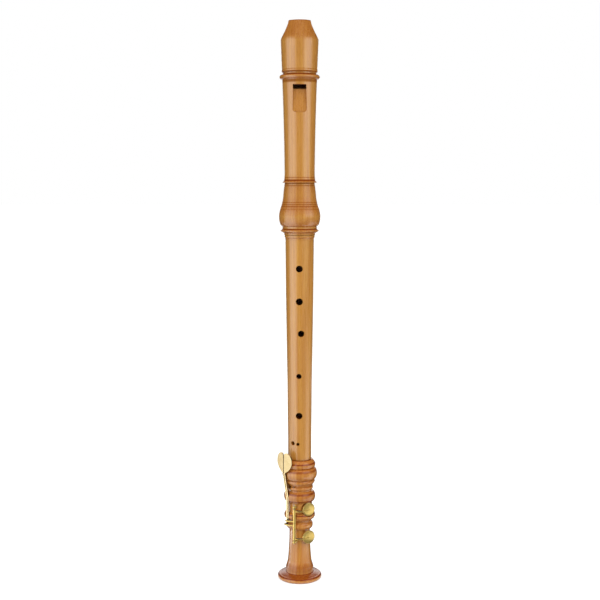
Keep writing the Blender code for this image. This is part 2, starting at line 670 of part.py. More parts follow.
def beak_outline():
    """Front view of the head, wide below and narrowed to the tip by hollow sides."""
    side = [(REACH, HEAD_BASE - REACH), (REACH, BEAK_BASE - REACH)]
    narrowed = Turning(CHEEK_RADIUS + GAP, BEAK_BASE)
    narrowed.bow(BEAK_SIDE_HALF_WIDTH, BEAK_HEIGHT - BEAK_TIP_ROUNDING, -BEAK_SIDE_HOLLOW, 5)
    side.extend(narrowed.points)
    steps = 3
    for step in range(1, steps + 1):
        turn = math.pi / 2 * step / steps
        width = BEAK_TIP_HALF_WIDTH + (BEAK_SIDE_HALF_WIDTH - BEAK_TIP_HALF_WIDTH) * math.cos(turn)
        side.append((width, HEAD_TOP + GAP - BEAK_TIP_ROUNDING * (1 - math.sin(turn))))
    return side + [(-width, height) for width, height in reversed(side)]


def beak_cutters(cutters):
    """Outline that the beak keeps, and the hollow scooped out of its back."""
    front = plate("beak_outline", beak_outline(), 2 * REACH, facing(0.0), cutters)
    tip = Vector((-BEAK_BACK_RADIUS, HEAD_TOP))
    start = Vector((CHEEK_RADIUS, HEAD_TOP - BEAK_CUT_HEIGHT))
    chord = tip - start
    outwards = Vector((chord.y, -chord.x)).normalized()
    centre = (tip + start) / 2 + outwards * math.sqrt(BEAK_CUT_RADIUS ** 2 - (chord.length / 2) ** 2)
    sideways = basis(Vector((0, 0, 1)), Vector((0, 1, 0)), Vector((-1, 0, 0)),
                     Vector((REACH, centre.x, centre.y)))
    scoop = rod("beak_scoop", BEAK_CUT_RADIUS, 2 * REACH, sideways, cutters, sides=SCOOP_FACETS)
    return front, scoop


def head_waist_radius(height):
    """Outside radius of the head between its stem and its ring."""
    share = (height - HEAD_WAIST_BASE) / HEAD_WAIST_HEIGHT
    hollow = 4 * HEAD_WAIST_HOLLOW * share * (1 - share)
    return STEM_RADIUS + (HEAD_WAIST_RADIUS - STEM_RADIUS) * share - hollow


def ramp_outline():
    """The ramp seen square on: narrow at the sharp edge, round at its far corners."""
    half_top = WINDOW_WIDTH / 2 - RAMP_INSET
    half_low = RAMP_WIDTH / 2
    outline = [(half_top, WINDOW_HEIGHT / 2), (half_top, 0.0)]
    steps = 3
    for step in range(steps + 1):
        turn = math.pi / 2 * step / steps
        outline.append((half_low - RAMP_CORNER * (1 - math.cos(turn)),
                        -RAMP_LENGTH + RAMP_CORNER * (1 - math.sin(turn))))
    return outline + [(-width, height) for width, height in reversed(outline)]


def make_head(parts, cutters, wood, block_wood):
    socket_top = HEAD_BASE + UPPER_TENON_LENGTH
    head = Turning(SOCKET_RIM_RADIUS, HEAD_BASE)
    head.line(SOCKET_RIM_RADIUS, SOCKET_RIM_HEIGHT)
    head.line(SOCKET_COLLAR_RADIUS, SOCKET_FLARE_HEIGHT)
    head.line(SOCKET_COLLAR_RADIUS, SOCKET_EDGE_HEIGHT)
    head.line(BULB_GROOVE_RADIUS, SOCKET_SLOPE_HEIGHT)
    head.line(BULB_GROOVE_RADIUS, BULB_GROOVE_HEIGHT)
    head.swell(BULB_RADIUS, BULB_LOW_HEIGHT, 4)
    head.bow(BULB_SHOULDER_RADIUS, BULB_SHOULDER_HEIGHT, BULB_BULGE, 3)
    head.bow(BULB_TOP_RADIUS, BULB_TOP_HEIGHT, -BULB_BULGE, 3)
    head.line(BULB_NECK_RADIUS, BULB_NECK_HEIGHT)
    head.line(SHARP_COLLAR_RADIUS, SHARP_COLLAR_STEP)
    head.line(SHARP_COLLAR_RADIUS, SHARP_COLLAR_EDGE)
    head.line(STEM_FILLET_RADIUS, SHARP_COLLAR_SLOPE)
    head.line(STEM_RADIUS, STEM_FILLET_HEIGHT)
    head.bow(HEAD_WAIST_RADIUS, HEAD_WAIST_HEIGHT, -HEAD_WAIST_HOLLOW)
    head.bead(HEAD_RING_RADIUS, HEAD_RING_HEIGHT, HEAD_GROOVE_RADIUS)
    head.line(HEAD_GROOVE_RADIUS, HEAD_GROOVE_HEIGHT)
    head.bead(HEAD_BEAD_RADIUS, HEAD_BEAD_HEIGHT, CHEEK_LOW_RADIUS, 2)
    head.line(CHEEK_RADIUS, CHEEK_HEIGHT)
    head.line(BEAK_FRONT_RADIUS, BEAK_HEIGHT)
    bore = [(HEAD_BORE_RADIUS, HEAD_TOP), (HEAD_BORE_RADIUS, socket_top),
            (UPPER_SOCKET_RADIUS, socket_top), (UPPER_SOCKET_RADIUS, HEAD_BASE)]
    joint = turned("head_joint", head.points[::-1] + bore[::-1], parts, wood)

    front, scoop = beak_cutters(cutters)
    combine(joint, front, "INTERSECT")
    cut(joint, scoop)

    floor = HEAD_BORE_RADIUS - WINDWAY_FLOOR_DROP
    roof = floor + WINDWAY_HEIGHT
    windway_length = HEAD_TOP - WINDOW_TOP
    windway_middle = (HEAD_TOP + WINDOW_TOP) / 2
    windway_frame = facing(0.0, roof / 2, windway_middle)
    windway = block("windway", (WINDOW_WIDTH, windway_length + 2 * GAP, roof), windway_frame, cutters)
    cut(joint, windway)
    window_middle = (WINDOW_TOP + WINDOW_BASE) / 2
    window_frame = facing(0.0, REACH / 2, window_middle)
    window = block("window", (WINDOW_WIDTH, WINDOW_HEIGHT, REACH), window_frame, cutters)
    cut(joint, window)

    edge_radius = HEAD_BORE_RADIUS + LIP_THICKNESS
    ramp_rise = head_waist_radius(WINDOW_BASE - RAMP_LENGTH) - RAMP_END_DEPTH - edge_radius
    tilt = math.atan2(ramp_rise, RAMP_LENGTH)
    ramp_frame = facing(0.0, edge_radius, WINDOW_BASE) @ Matrix.Rotation(-tilt, 4, "X")
    ramp_frame = ramp_frame @ Matrix.Translation((0, 0, REACH / 2))
    cut(joint, plate("ramp", ramp_outline(), REACH, ramp_frame, cutters))

    plug_radius = HEAD_BORE_RADIUS - GAP
    plug = rod("windway_block", plug_radius, windway_length, Matrix.Translation((0, 0, WINDOW_TOP)),
               parts, block_wood, sides=FACETS)
    combine(plug, front, "INTERSECT")
    cut(plug, scoop)
    floor_cut = block("windway_floor", (2 * REACH, windway_length + 2 * GAP, REACH),
                      facing(0.0, floor + REACH / 2, windway_middle), cutters)
    cut(plug, floor_cut)


def swung(azimuth, radius, height):
    """Point on a key, given with the pad on its seat, after the key has swung open."""
    axis = place(ROD_AZIMUTH, ROD_RADIUS, 0.0)
    swing = (Matrix.Translation(axis) @ Matrix.Rotation(-math.radians(KEY_OPEN_ANGLE), 4, "Z")
             @ Matrix.Translation(-axis))
    return swing @ place(azimuth, radius, height), swing


def make_pad_key(label, pad_height, bottom, top, tail_height, tail_end, parts, cutters, brass,
                 leather, steel):
    rod_axis = Matrix.Translation(place(ROD_AZIMUTH, ROD_RADIUS, bottom))
    length = top - bottom
    tube = [(TUBE_RADIUS, length), (TUBE_RADIUS, 0.0), (ROD_HOLE_RADIUS, 0.0), (ROD_HOLE_RADIUS, length)]
    key = turned(label + "_key", tube, parts, brass, rod_axis, SMALL_FACETS)

    swing = swung(PAD_AZIMUTH, 0.0, 0.0)[1]
    cup_frame = swing @ facing(PAD_AZIMUTH, CUP_FLOOR_RADIUS, pad_height)
    cup = Turning(CUP_RADIUS - CUP_WALL, 0.0)
    cup.line(CUP_RADIUS - CUP_WALL, -CUP_DEPTH)
    cup.line(CUP_RADIUS)
    cup.line(CUP_RADIUS, CUP_DEPTH + CUP_SHOULDER)
    cup.fall(0.0, CUP_CROWN - CUP_SHOULDER)
    shell = turned(label + "_cup", cup.points[::-1] + [(0.0, 0.0)], cutters, None, cup_frame,
                   CUP_FACETS, closed=False)

    arm_height = pad_height - ARM_DROP
    crown = CUP_FLOOR_RADIUS + CUP_CROWN
    rim_azimuth = PAD_AZIMUTH - math.degrees(CUP_RADIUS / crown)
    arm_route = [
        (ROD_AZIMUTH, ROD_RADIUS, arm_height),
        ((ROD_AZIMUTH + rim_azimuth) / 2 - ARM_FOOT_TURN, ROD_RADIUS - GAP, arm_height),
        (rim_azimuth, NECK_RADIUS + 3 * ARM_RADIUS, arm_height),
        (PAD_AZIMUTH - ARM_CREST_TURN, crown + ARM_CREST_RISE, (arm_height + pad_height) / 2),
        (PAD_AZIMUTH, crown - ARM_SINK, pad_height),
    ]
    arm = bar(label + "_arm", [swung(*point)[0] for point in arm_route], ARM_RADIUS, cutters)

    knee_along = LEVER_SPLIT / 2 + LEVER_WIDTH + TAIL_END_LENGTH
    knee = place(LEVER_AZIMUTH, TAIL_AXIS_RADIUS, tail_height, knee_along)
    tail_route = [place(ROD_AZIMUTH, ROD_RADIUS, tail_height), knee,
                  place(LEVER_AZIMUTH, TAIL_AXIS_RADIUS, tail_height, tail_end)]
    tail = bar(label + "_tail", tail_route, TAIL_RADIUS, cutters)

    bore = rod(label + "_tube_bore", ROD_HOLE_RADIUS, length + 2 * REACH,
               Matrix.Translation(place(ROD_AZIMUTH, ROD_RADIUS, bottom - REACH)), cutters)
    join(key, shell, arm, tail)
    cut(key, bore)

    pad_radius = CUP_RADIUS - CUP_WALL - GAP
    pad_frame = swing @ facing(PAD_AZIMUTH, PAD_BASE_RADIUS, pad_height)
    pad = rod(label + "_pad", pad_radius, PAD_THICKNESS, pad_frame, parts, leather, sides=CUP_FACETS)

    spring_middle = (ROD_AZIMUTH + rim_azimuth) / 2
    spring_radius = ROD_RADIUS - ARM_RADIUS - SPRING_DROP
    spring_frame = swing @ facing(spring_middle, spring_radius, arm_height)
    spring_size = (SPRING_LENGTH, SPRING_WIDTH, SPRING_THICKNESS)
    spring = block(label + "_spring", spring_size, spring_frame, parts, steel)
    hinged(label + "_key_hinge", rod_axis, parts, key, pad, spring)


def lever_outline(tip_height):
    """Side view of a lever: lower run, pivot lug, and upper run under the touch."""
    top = PIN_HEIGHT + TOUCH_RISE + TOUCH_LENGTH * LEVER_TOUCH_SHARE
    shoulder = PIN_HEIGHT + LEVER_SHOULDER_RISE
    slope = (LEVER_HIGH_INNER - LEVER_LOW_INNER) / (shoulder - LEVER_BEND_HEIGHT)
    lug_top = PIN_HEIGHT + LUG_RADIUS
    lug_base = PIN_HEIGHT - LUG_RADIUS
    inner = [(LEVER_HIGH_RADIUS - LEVER_END_THICKNESS, top), (LEVER_HIGH_INNER, top - LEVER_END_TAPER),
             (LEVER_HIGH_INNER, shoulder),
             (LEVER_LOW_INNER + slope * (lug_top - LEVER_BEND_HEIGHT), lug_top)]
    lug = []
    steps = 6
    for step in range(steps + 1):
        turn = math.pi * step / steps
        lug.append((PIN_RADIUS - LUG_RADIUS * math.sin(turn), PIN_HEIGHT + LUG_RADIUS * math.cos(turn)))
    below = [(LEVER_LOW_INNER + slope * (lug_base - LEVER_BEND_HEIGHT), lug_base),
             (LEVER_LOW_INNER, LEVER_BEND_HEIGHT), (LEVER_LOW_INNER, tip_height)]
    outer = [(LEVER_LOW_RADIUS, tip_height), (LEVER_LOW_RADIUS, LEVER_BEND_HEIGHT),
             (LEVER_HIGH_RADIUS, shoulder), (LEVER_HIGH_RADIUS, top)]
    return outer + inner + lug + below


def touch_outline(side):
    """Leaf shape of a touch, straight along the split and full on its outer side."""
    leaf = ((0.0, 0.0), (0.40, 0.10), (0.86, 0.34), (1.0, 0.58), (0.82, 0.87), (0.45, 1.0),
            (0.12, 0.985), (0.0, 0.90))
    split = LEVER_SPLIT / 2 + TOUCH_INSET
    return [(side * (split + across * TOUCH_WIDTH), up * TOUCH_LENGTH) for across, up in leaf]


def make_lever(label, side, tail_height, parts, cutters, brass, felt, cork):
    along = side * (LEVER_SPLIT + LEVER_WIDTH) / 2
    tip_height = tail_height - TAIL_RADIUS - LEVER_OVERLAP
    side_view = profile_plane(LEVER_AZIMUTH, along)
    lever = plate(label + "_lever", lever_outline(tip_height), LEVER_WIDTH, side_view, parts, brass)
    face = LEVER_AZIMUTH + (TOUCH_TURN if side > 0 else 0.0)
    base = place(LEVER_AZIMUTH, LEVER_HIGH_RADIUS + TOUCH_THICKNESS / 2 - GAP, PIN_HEIGHT + TOUCH_RISE)
    touch_frame = basis(tangent(face), Vector((0, 0, 1)), radial(face), base)
    touch = plate(label + "_touch", touch_outline(side), TOUCH_THICKNESS, touch_frame, cutters,
                  rounded=True)
    join(lever, touch)
    eye = rod(label + "_lever_eye", PIN_DIAMETER / 2 + GAP, 2 * REACH, pin_frame(REACH), cutters)
    cut(lever, eye)

    felt_radius = LEVER_LOW_RADIUS + GAP + FELT_THICKNESS / 2
    felt_frame = basis(tangent(LEVER_AZIMUTH), Vector((0, 0, 1)), radial(LEVER_AZIMUTH),
                       place(LEVER_AZIMUTH, felt_radius, tail_height, along))
    felt_pad = block(label + "_lever_felt", (LEVER_WIDTH, FELT_HEIGHT, FELT_THICKNESS), felt_frame,
                     parts, felt)
    bumper_radius = LEVER_HIGH_INNER - GAP - BUMPER_THICKNESS / 2
    bumper_height = CROWN_BASE + CROWN_LOW_HEIGHT + CROWN_HIGH_HEIGHT * BUMPER_SHARE
    bumper_frame = basis(tangent(LEVER_AZIMUTH), Vector((0, 0, 1)), radial(LEVER_AZIMUTH),
                         place(LEVER_AZIMUTH, bumper_radius, bumper_height, along))
    bumper = block(label + "_touch_cork", (LEVER_WIDTH, BUMPER_HEIGHT, BUMPER_THICKNESS), bumper_frame,
                   parts, cork)
    hinged(label + "_lever_hinge", pin_frame(-along), parts, lever, felt_pad, bumper)


def make_post(name, height, surface, parts, cutters, brass):
    base = surface + GAP
    post = Turning(0.0, surface - POST_SHANK_DEPTH)
    post.line(POST_SHANK_RADIUS)
    post.line(POST_SHANK_RADIUS, POST_SHANK_DEPTH + GAP)
    post.line(POST_FLANGE_RADIUS)
    post.line(POST_FLANGE_RADIUS, POST_FLANGE_HEIGHT)
    post.line(POST_STEM_RADIUS)
    spread = math.asin(POST_STEM_RADIUS / POST_BALL_RADIUS)
    ball_base = ROD_RADIUS - POST_BALL_RADIUS * math.cos(spread)
    post.line(POST_STEM_RADIUS, max(ball_base - base - POST_FLANGE_HEIGHT, GAP))
    steps = 5
    for step in range(1, steps + 1):
        turn = spread + (math.pi - spread) * step / steps
        ball_height = ROD_RADIUS - POST_BALL_RADIUS * math.cos(turn)
        post.points.append((POST_BALL_RADIUS * math.sin(turn), ball_height))
    post.points[-1] = (0.0, ROD_RADIUS + POST_BALL_RADIUS)
    item = turned(name, post.points[::-1], parts, brass, facing(ROD_AZIMUTH, 0.0, height), SMALL_FACETS,
                  closed=False)
    hole = Matrix.Translation(place(ROD_AZIMUTH, ROD_RADIUS, height - REACH))
    cut(item, rod(name + "_eye", ROD_HOLE_RADIUS, 2 * REACH, hole, cutters))


def make_keys(parts, cutters, brass, steel, leather, felt, cork):
    make_post("upper_post", UPPER_POST_HEIGHT, NECK_RADIUS, parts, cutters, brass)
    make_post("lower_post", LOWER_POST_HEIGHT, WAIST_RADIUS, parts, cutters, brass)
    rod_base = LOWER_POST_HEIGHT - POST_BALL_RADIUS - GAP
    rod_top = UPPER_POST_HEIGHT + POST_BALL_RADIUS + GAP
    rod("key_rod", KEY_ROD_DIAMETER / 2, rod_top - rod_base,
        Matrix.Translation(place(ROD_AZIMUTH, ROD_RADIUS, rod_base)), parts, steel)

    make_pad_key("c_sharp", UPPER_PAD_HEIGHT, TUBE_SPLIT + GAP / 2, TUBE_TOP, UPPER_TAIL_HEIGHT,
                 LEVER_SPLIT / 2, parts, cutters, brass, leather, steel)
    make_pad_key("c", LOWER_PAD_HEIGHT, TUBE_BOTTOM, TUBE_SPLIT - GAP / 2, LOWER_TAIL_HEIGHT,
                 -LEVER_SPLIT / 2 - LEVER_WIDTH, parts, cutters, brass, leather, steel)
    make_lever("c_sharp", 1, UPPER_TAIL_HEIGHT, parts, cutters, brass, felt, cork)
    make_lever("c", -1, LOWER_TAIL_HEIGHT, parts, cutters, brass, felt, cork)
    rod("lever_pin", PIN_DIAMETER / 2, PIN_LENGTH, pin_frame(PIN_LENGTH / 2), parts, steel)


def main():
    clear_scene()
    parts = new_collection("tenor_recorder")
    cutters = new_collection("cutters")
    wood = make_material("varnished_wood", (0.62, 0.26, 0.06), 0.35)
    foot_wood = make_material("varnished_foot_wood", (0.55, 0.19, 0.04), 0.35)
    block_wood = make_material("block_wood", (0.60, 0.32, 0.14), 0.7)
    cork = make_material("cork", (0.55, 0.36, 0.20), 0.9)
    brass = make_material("brass", (0.80, 0.66, 0.34), 0.25, 1.0)
    steel = make_material("steel", (0.60, 0.60, 0.60), 0.3, 1.0)
    leather = make_material("pad_leather", (0.62, 0.48, 0.30), 0.8)
    felt = make_material("felt", (0.10, 0.10, 0.10), 1.0)
    make_foot(parts, cutters, foot_wood)
    make_middle(parts, cutters, wood, cork)
    make_head(parts, cutters, wood, block_wood)
    make_keys(parts, cutters, brass, steel, leather, felt, cork)


main()
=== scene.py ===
import math
import bpy
import bmesh
from mathutils import Matrix, Vector


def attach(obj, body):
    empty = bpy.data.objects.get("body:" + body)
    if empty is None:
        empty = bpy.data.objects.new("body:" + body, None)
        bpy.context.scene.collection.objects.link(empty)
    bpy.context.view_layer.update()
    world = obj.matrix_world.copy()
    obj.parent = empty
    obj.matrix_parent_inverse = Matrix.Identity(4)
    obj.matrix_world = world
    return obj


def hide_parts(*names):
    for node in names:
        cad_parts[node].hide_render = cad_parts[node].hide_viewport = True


print("loading the packed recorder")
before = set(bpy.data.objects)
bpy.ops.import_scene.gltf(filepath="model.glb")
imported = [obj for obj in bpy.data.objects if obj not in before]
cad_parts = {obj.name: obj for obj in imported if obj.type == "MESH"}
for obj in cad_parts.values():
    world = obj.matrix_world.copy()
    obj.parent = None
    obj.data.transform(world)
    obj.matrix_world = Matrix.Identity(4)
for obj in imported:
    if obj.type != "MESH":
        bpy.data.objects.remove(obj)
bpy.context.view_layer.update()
gap = 0.0003  # left between pieces that touch
reach = 0.030  # cutters stand out this far


# Directions round the bore: 0 faces the player's fingers, height runs up the bore

def outwards(azimuth):
    turn = math.radians(azimuth)
    return Vector((math.sin(turn), -math.cos(turn), 0.0))


def sideways(azimuth):
    turn = math.radians(azimuth)
    return Vector((math.cos(turn), math.sin(turn), 0.0))


def spot(azimuth, radius, height, along=0.0):
    return outwards(azimuth) * radius + sideways(azimuth) * along + Vector((0, 0, height))


def axesAt(xAxis, yAxis, zAxis, origin):
    matrix = Matrix.Identity(4)
    for column, vector in enumerate((xAxis, yAxis, zAxis, origin)):
        for row in range(3):
            matrix[row][column] = vector[row]
    return matrix


def facing(azimuth, radius=0.0, height=0.0):
    return axesAt(sideways(azimuth), Vector((0, 0, 1)), outwards(azimuth), spot(azimuth, radius, height))


def sideView(azimuth, along=0.0):
    return axesAt(outwards(azimuth), Vector((0, 0, 1)), -sideways(azimuth), spot(azimuth, 0.0, 0.0, along))


# Outlines of turned pieces, drawn from the lower end up

class TurnedOutline:
    def __init__(self, radius, height):
        self.points = [(radius, height)]

    def line(self, radius, rise=0.0):
        self.points.append((radius, self.points[-1][1] + rise))

    def swell(self, radius, rise, steps=8):
        start, base = self.points[-1]
        for step in range(1, steps + 1):
            turn = math.pi / 2 * step / steps
            self.points.append((start + (radius - start) * math.sin(turn), base + rise * (1 - math.cos(turn))))

    def fall(self, radius, rise, steps=8):
        start, base = self.points[-1]
        for step in range(1, steps + 1):
            turn = math.pi / 2 * step / steps
            self.points.append((radius + (start - radius) * math.cos(turn), base + rise * math.sin(turn)))

    def bead(self, peak, rise, radius, steps=8):
        self.swell(peak, rise / 2, steps)
        self.fall(radius, rise / 2, steps)

    def bow(self, radius, rise, bulge, steps=10):
        start, base = self.points[-1]
        for step in range(1, steps + 1):
            share = step / steps
            self.points.append((start + (radius - start) * share + 4 * bulge * share * (1 - share),
                                base + rise * share))


def softened(points, size=0.00022, straight=158.0):
    # a small round where two straight runs meet, as sandpaper leaves it
    result = [points[0]]
    for before, corner, after in zip(points, points[1:], points[2:]):
        one = Vector(before) - Vector(corner)
        two = Vector(after) - Vector(corner)
        if one.length < 1e-7 or two.length < 1e-7 or one.angle(two) > math.radians(straight):
            result.append(corner)
            continue
        reachOne = Vector(corner) + one.normalized() * min(size, one.length * 0.45)
        reachTwo = Vector(corner) + two.normalized() * min(size, two.length * 0.45)
        middle = (reachOne + reachTwo) / 4 + Vector(corner) / 2
        result += [tuple(reachOne), tuple(middle), tuple(reachTwo)]
    return result + [points[-1]]


def scribed(points, heights, depth=0.00016, width=0.00042):
    # fine lines cut with the tip of a skew chisel
    result = []
    for (radius, height), (nextRadius, nextHeight) in zip(points, points[1:]):
        result.append((radius, height))
        for line in sorted(heights):
            if nextHeight - height > 2 * width and height + width < line < nextHeight - width:
                slope = (nextRadius - radius) / (nextHeight - height)
                for offset, cut in ((-width / 2, 0.0), (0.0, depth), (width / 2, 0.0)):
                    at = line + offset
                    result.append((radius + slope * (at - height) - cut, at))
    return result + [points[-1]]


def stepped(points, longest=0.004):
    # long straight runs in short steps, so that cuts stay clean
    result = [points[0]]
    for (radius, height), (nextRadius, nextHeight) in zip(points, points[1:]):
        count = max(1, math.ceil(abs(nextHeight - height) / longest))
        for step in range(1, count + 1):
            share = step / count
            result.append((radius + (nextRadius - radius) * share, height + (nextHeight - height) * share))
    return result


# Making shapes

def finishMesh(shape, name, sharpAngle=38.0):
    bmesh.ops.remove_doubles(shape, verts=shape.verts, dist=0.000002)
    bmesh.ops.recalc_face_normals(shape, faces=shape.faces)
    mesh = bpy.data.meshes.new(name)
    shape.to_mesh(mesh)
    shape.free()
    mesh.shade_smooth()
    mesh.set_sharp_from_angle(angle=math.radians(sharpAngle))
    return mesh


def spun(shape, outline, segments=96, matrix=Matrix.Identity(4), closed=True):
    rings = []
    for radius, height in outline:
        if radius < 1e-6:
            rings.append([shape.verts.new(matrix @ Vector((0, 0, height)))])
            continue
        turns = [2 * math.pi * step / segments for step in range(segments)]
        rings.append([shape.verts.new(matrix @ Vector((radius * math.cos(turn), radius * math.sin(turn), height)))
                      for turn in turns])
    pairs = list(zip(rings, rings[1:]))
    if closed:
        pairs.append((rings[-1], rings[0]))
    for lower, upper in pairs:
        for step in range(segments):
            following = (step + 1) % segments
            corners = [lower[step % len(lower)], lower[following % len(lower)],
                       upper[following % len(upper)], upper[step % len(upper)]]
            corners = [corner for place, corner in enumerate(corners) if corner not in corners[:place]]
            if len(corners) > 2:
                shape.faces.new(corners)


def slab(shape, outline, thickness, matrix, rounding=0.0, steps=3):
    # flat piece in the frame's XY plane, with its edges broken
    piece = bmesh.new()
    low = [piece.verts.new((x, y, -thickness / 2)) for x, y in outline]
    high = [piece.verts.new((x, y, thickness / 2)) for x, y in outline]
    rims = [piece.faces.new(low[::-1]), piece.faces.new(high)]
    for step in range(len(outline)):
        following = (step + 1) % len(outline)
        piece.faces.new((low[step], low[following], high[following], high[step]))
    if rounding:
        edges = {edge for face in rims for edge in face.edges}
        bmesh.ops.bevel(piece, geom=list(edges), offset=rounding, segments=steps, profile=0.5, affect="EDGES")
    piece.transform(matrix)
    added = bpy.data.meshes.new("added")
    piece.to_mesh(added)
    piece.free()
    shape.from_mesh(added)
    bpy.data.meshes.remove(added)


def roundBar(shape, path, radii, sides=16, rings=40):
    # smooth bar through points, round or a little flattened, with closed ends
    points = [Vector(point) for point in path]
    spine, sizes = [], []
    for step in range(rings + 1):
        along = step / rings * (len(points) - 1)
        index = min(int(along), len(points) - 2)
        share = along - index
        before, start = points[max(index - 1, 0)], points[index]
        end, after = points[index + 1], points[min(index + 2, len(points) - 1)]
        spine.append(0.5 * ((2 * start) + (end - before) * share
                            + (2 * before - 5 * start + 4 * end - after) * share ** 2
                            + (3 * start - before - 3 * end + after) * share ** 3))
        sizes.append(radii[index] + (radii[index + 1] - radii[index]) * share)
    previous = None
    loops = []
    for step, centre in enumerate(spine):
        heading = (spine[min(step + 1, rings)] - spine[max(step - 1, 0)]).normalized()
        side = heading.orthogonal() if previous is None else previous - heading * previous.dot(heading)
        side.normalize()
        previous = side
        other = heading.cross(side)
        loops.append([shape.verts.new(centre + (side * math.cos(2 * math.pi * turn / sides)
                                                + other * math.sin(2 * math.pi * turn / sides)) * sizes[step])
                      for turn in range(sides)])
    for lower, upper in zip(loops, loops[1:]):
        for turn in range(sides):
            following = (turn + 1) % sides
            shape.faces.new((lower[turn], lower[following], upper[following], upper[turn]))
    shape.faces.new(loops[0][::-1])
    shape.faces.new(loops[-1])


def addPiece(name, mesh, body, finish, slotName, *nodeNames):
    piece = bpy.data.objects.new(name, mesh)
    bpy.context.scene.collection.objects.link(piece)
    piece.data.materials.clear()
    piece.data.materials.append(finish)
    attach(piece, body)
    if nodeNames:
        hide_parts(*nodeNames)


# Cutting tools for the joints

def drill(radius, matrix, length=reach, sides=48):
    shape = bmesh.new()
    bmesh.ops.create_cone(shape, cap_ends=True, segments=sides, radius1=radius, radius2=radius, depth=length,
                          matrix=Matrix.Translation((0, 0, length / 2)))
    shape.transform(matrix)
    return shape


def chisel(outline, thickness, matrix):
    shape = bmesh.new()
    slab(shape, outline, thickness, matrix)
    return shape


def boxTool(size, matrix):
    shape = bmesh.new()
    bmesh.ops.create_cube(shape, size=1.0, matrix=Matrix.Diagonal((*size, 1.0)))
    shape.transform(matrix)
    return shape


def carved(name, outline, tools, keep=()):
    # turns the outline, then takes each tool's shape out of it
    shape = bmesh.new()
    spun(shape, outline)
    blank = bpy.data.objects.new(name, finishMesh(shape, name))
    bpy.context.scene.collection.objects.link(blank)
    cutters = []
    for operation, shapes in (("INTERSECT", keep), ("DIFFERENCE", tools)):
        for tool in shapes:
            mesh = finishMesh(tool, "tool")
            cutter = bpy.data.objects.new("tool", mesh)
            bpy.context.scene.collection.objects.link(cutter)
            change = blank.modifiers.new("cut", "BOOLEAN")
            change.operation = operation
            change.solver = "EXACT"
            change.object = cutter
            cutters.append(cutter)
    bpy.context.view_layer.update()
    graph = bpy.context.evaluated_depsgraph_get()
    mesh = bpy.data.meshes.new_from_object(blank.evaluated_get(graph))
    for used in cutters + [blank]:
        bpy.data.objects.remove(used, do_unlink=True)
    result = bmesh.new()
    result.from_mesh(mesh)
    return finishMesh(result, name)


# Finishes

def addNode(tree, kind, settings=(), values=()):
    node = tree.nodes.new("ShaderNode" + kind)
    for key, value in dict(settings).items():
        setattr(node, key, value)
    for key, value in dict(values).items():
        if isinstance(value, bpy.types.NodeSocket):
            tree.links.new(value, node.inputs[key])
        else:
            node.inputs[key].default_value = value
    return node


def newFinish(name):
    finish = bpy.data.materials.new(name)
    finish.use_nodes = True
    return finish, finish.node_tree, finish.node_tree.nodes["Principled BSDF"]


def toneRamp(tree, factor, stops):
    ramp = addNode(tree, "ValToRGB", values={"Fac": factor})
    while len(ramp.color_ramp.elements) < len(stops):
        ramp.color_ramp.elements.new(0.5)
    for element, (position, colour) in zip(ramp.color_ramp.elements, stops):
        element.position = position
        element.color = (*colour, 1.0)
    return ramp.outputs["Color"]


def grey(value):
    return (value, value, value)


def mixed(tree, blend, factor, first, second):
    node = addNode(tree, "Mix", {"data_type": "RGBA", "blend_type": blend})
    for index, value in ((0, factor), (6, first), (7, second)):
        if isinstance(value, bpy.types.NodeSocket):
            tree.links.new(value, node.inputs[index])
        else:
            node.inputs[index].default_value = value
    return node.outputs[2]


def noiseAlong(tree, coordinates, stretch, scale, detail=4.0, roughness=0.55, distortion=0.0):
    mapping = addNode(tree, "Mapping", values={"Vector": coordinates, "Scale": (1.0, 1.0, stretch)})
    noise = addNode(tree, "TexNoise", values={"Vector": mapping.outputs["Vector"], "Scale": scale, "Detail": detail,
                                              "Roughness": roughness, "Distortion": distortion})
    return noise.outputs["Fac"]


def bumped(tree, surface, height, strength, distance=0.0002):
    bump = addNode(tree, "Bump", values={"Height": height, "Strength": strength, "Distance": distance})
    tree.links.new(bump.outputs["Normal"], surface.inputs["Normal"])


# each noise: stretch along the bore, scale, detail, roughness and distortion
woodGrain = {"figure": (0.035, 260.0, 5.0, 0.6, 0.4), "fine": (0.018, 1700.0, 3.0, 0.6),
             "pores": (0.05, 3200.0, 2.0, 0.5), "plankStretch": 0.10,
             "waves": {"Distortion": 2.5, "Detail": 3.0, "Detail Scale": 1.2},
             "fineShare": 0.5, "fineTone": 0.84, "poreShare": 0.4, "poreTone": (0.62, 0.50, 0.42),
             "glossSpread": (-0.04, 0.08), "coatRoughness": 0.22, "bump": (0.20, 0.00012)}


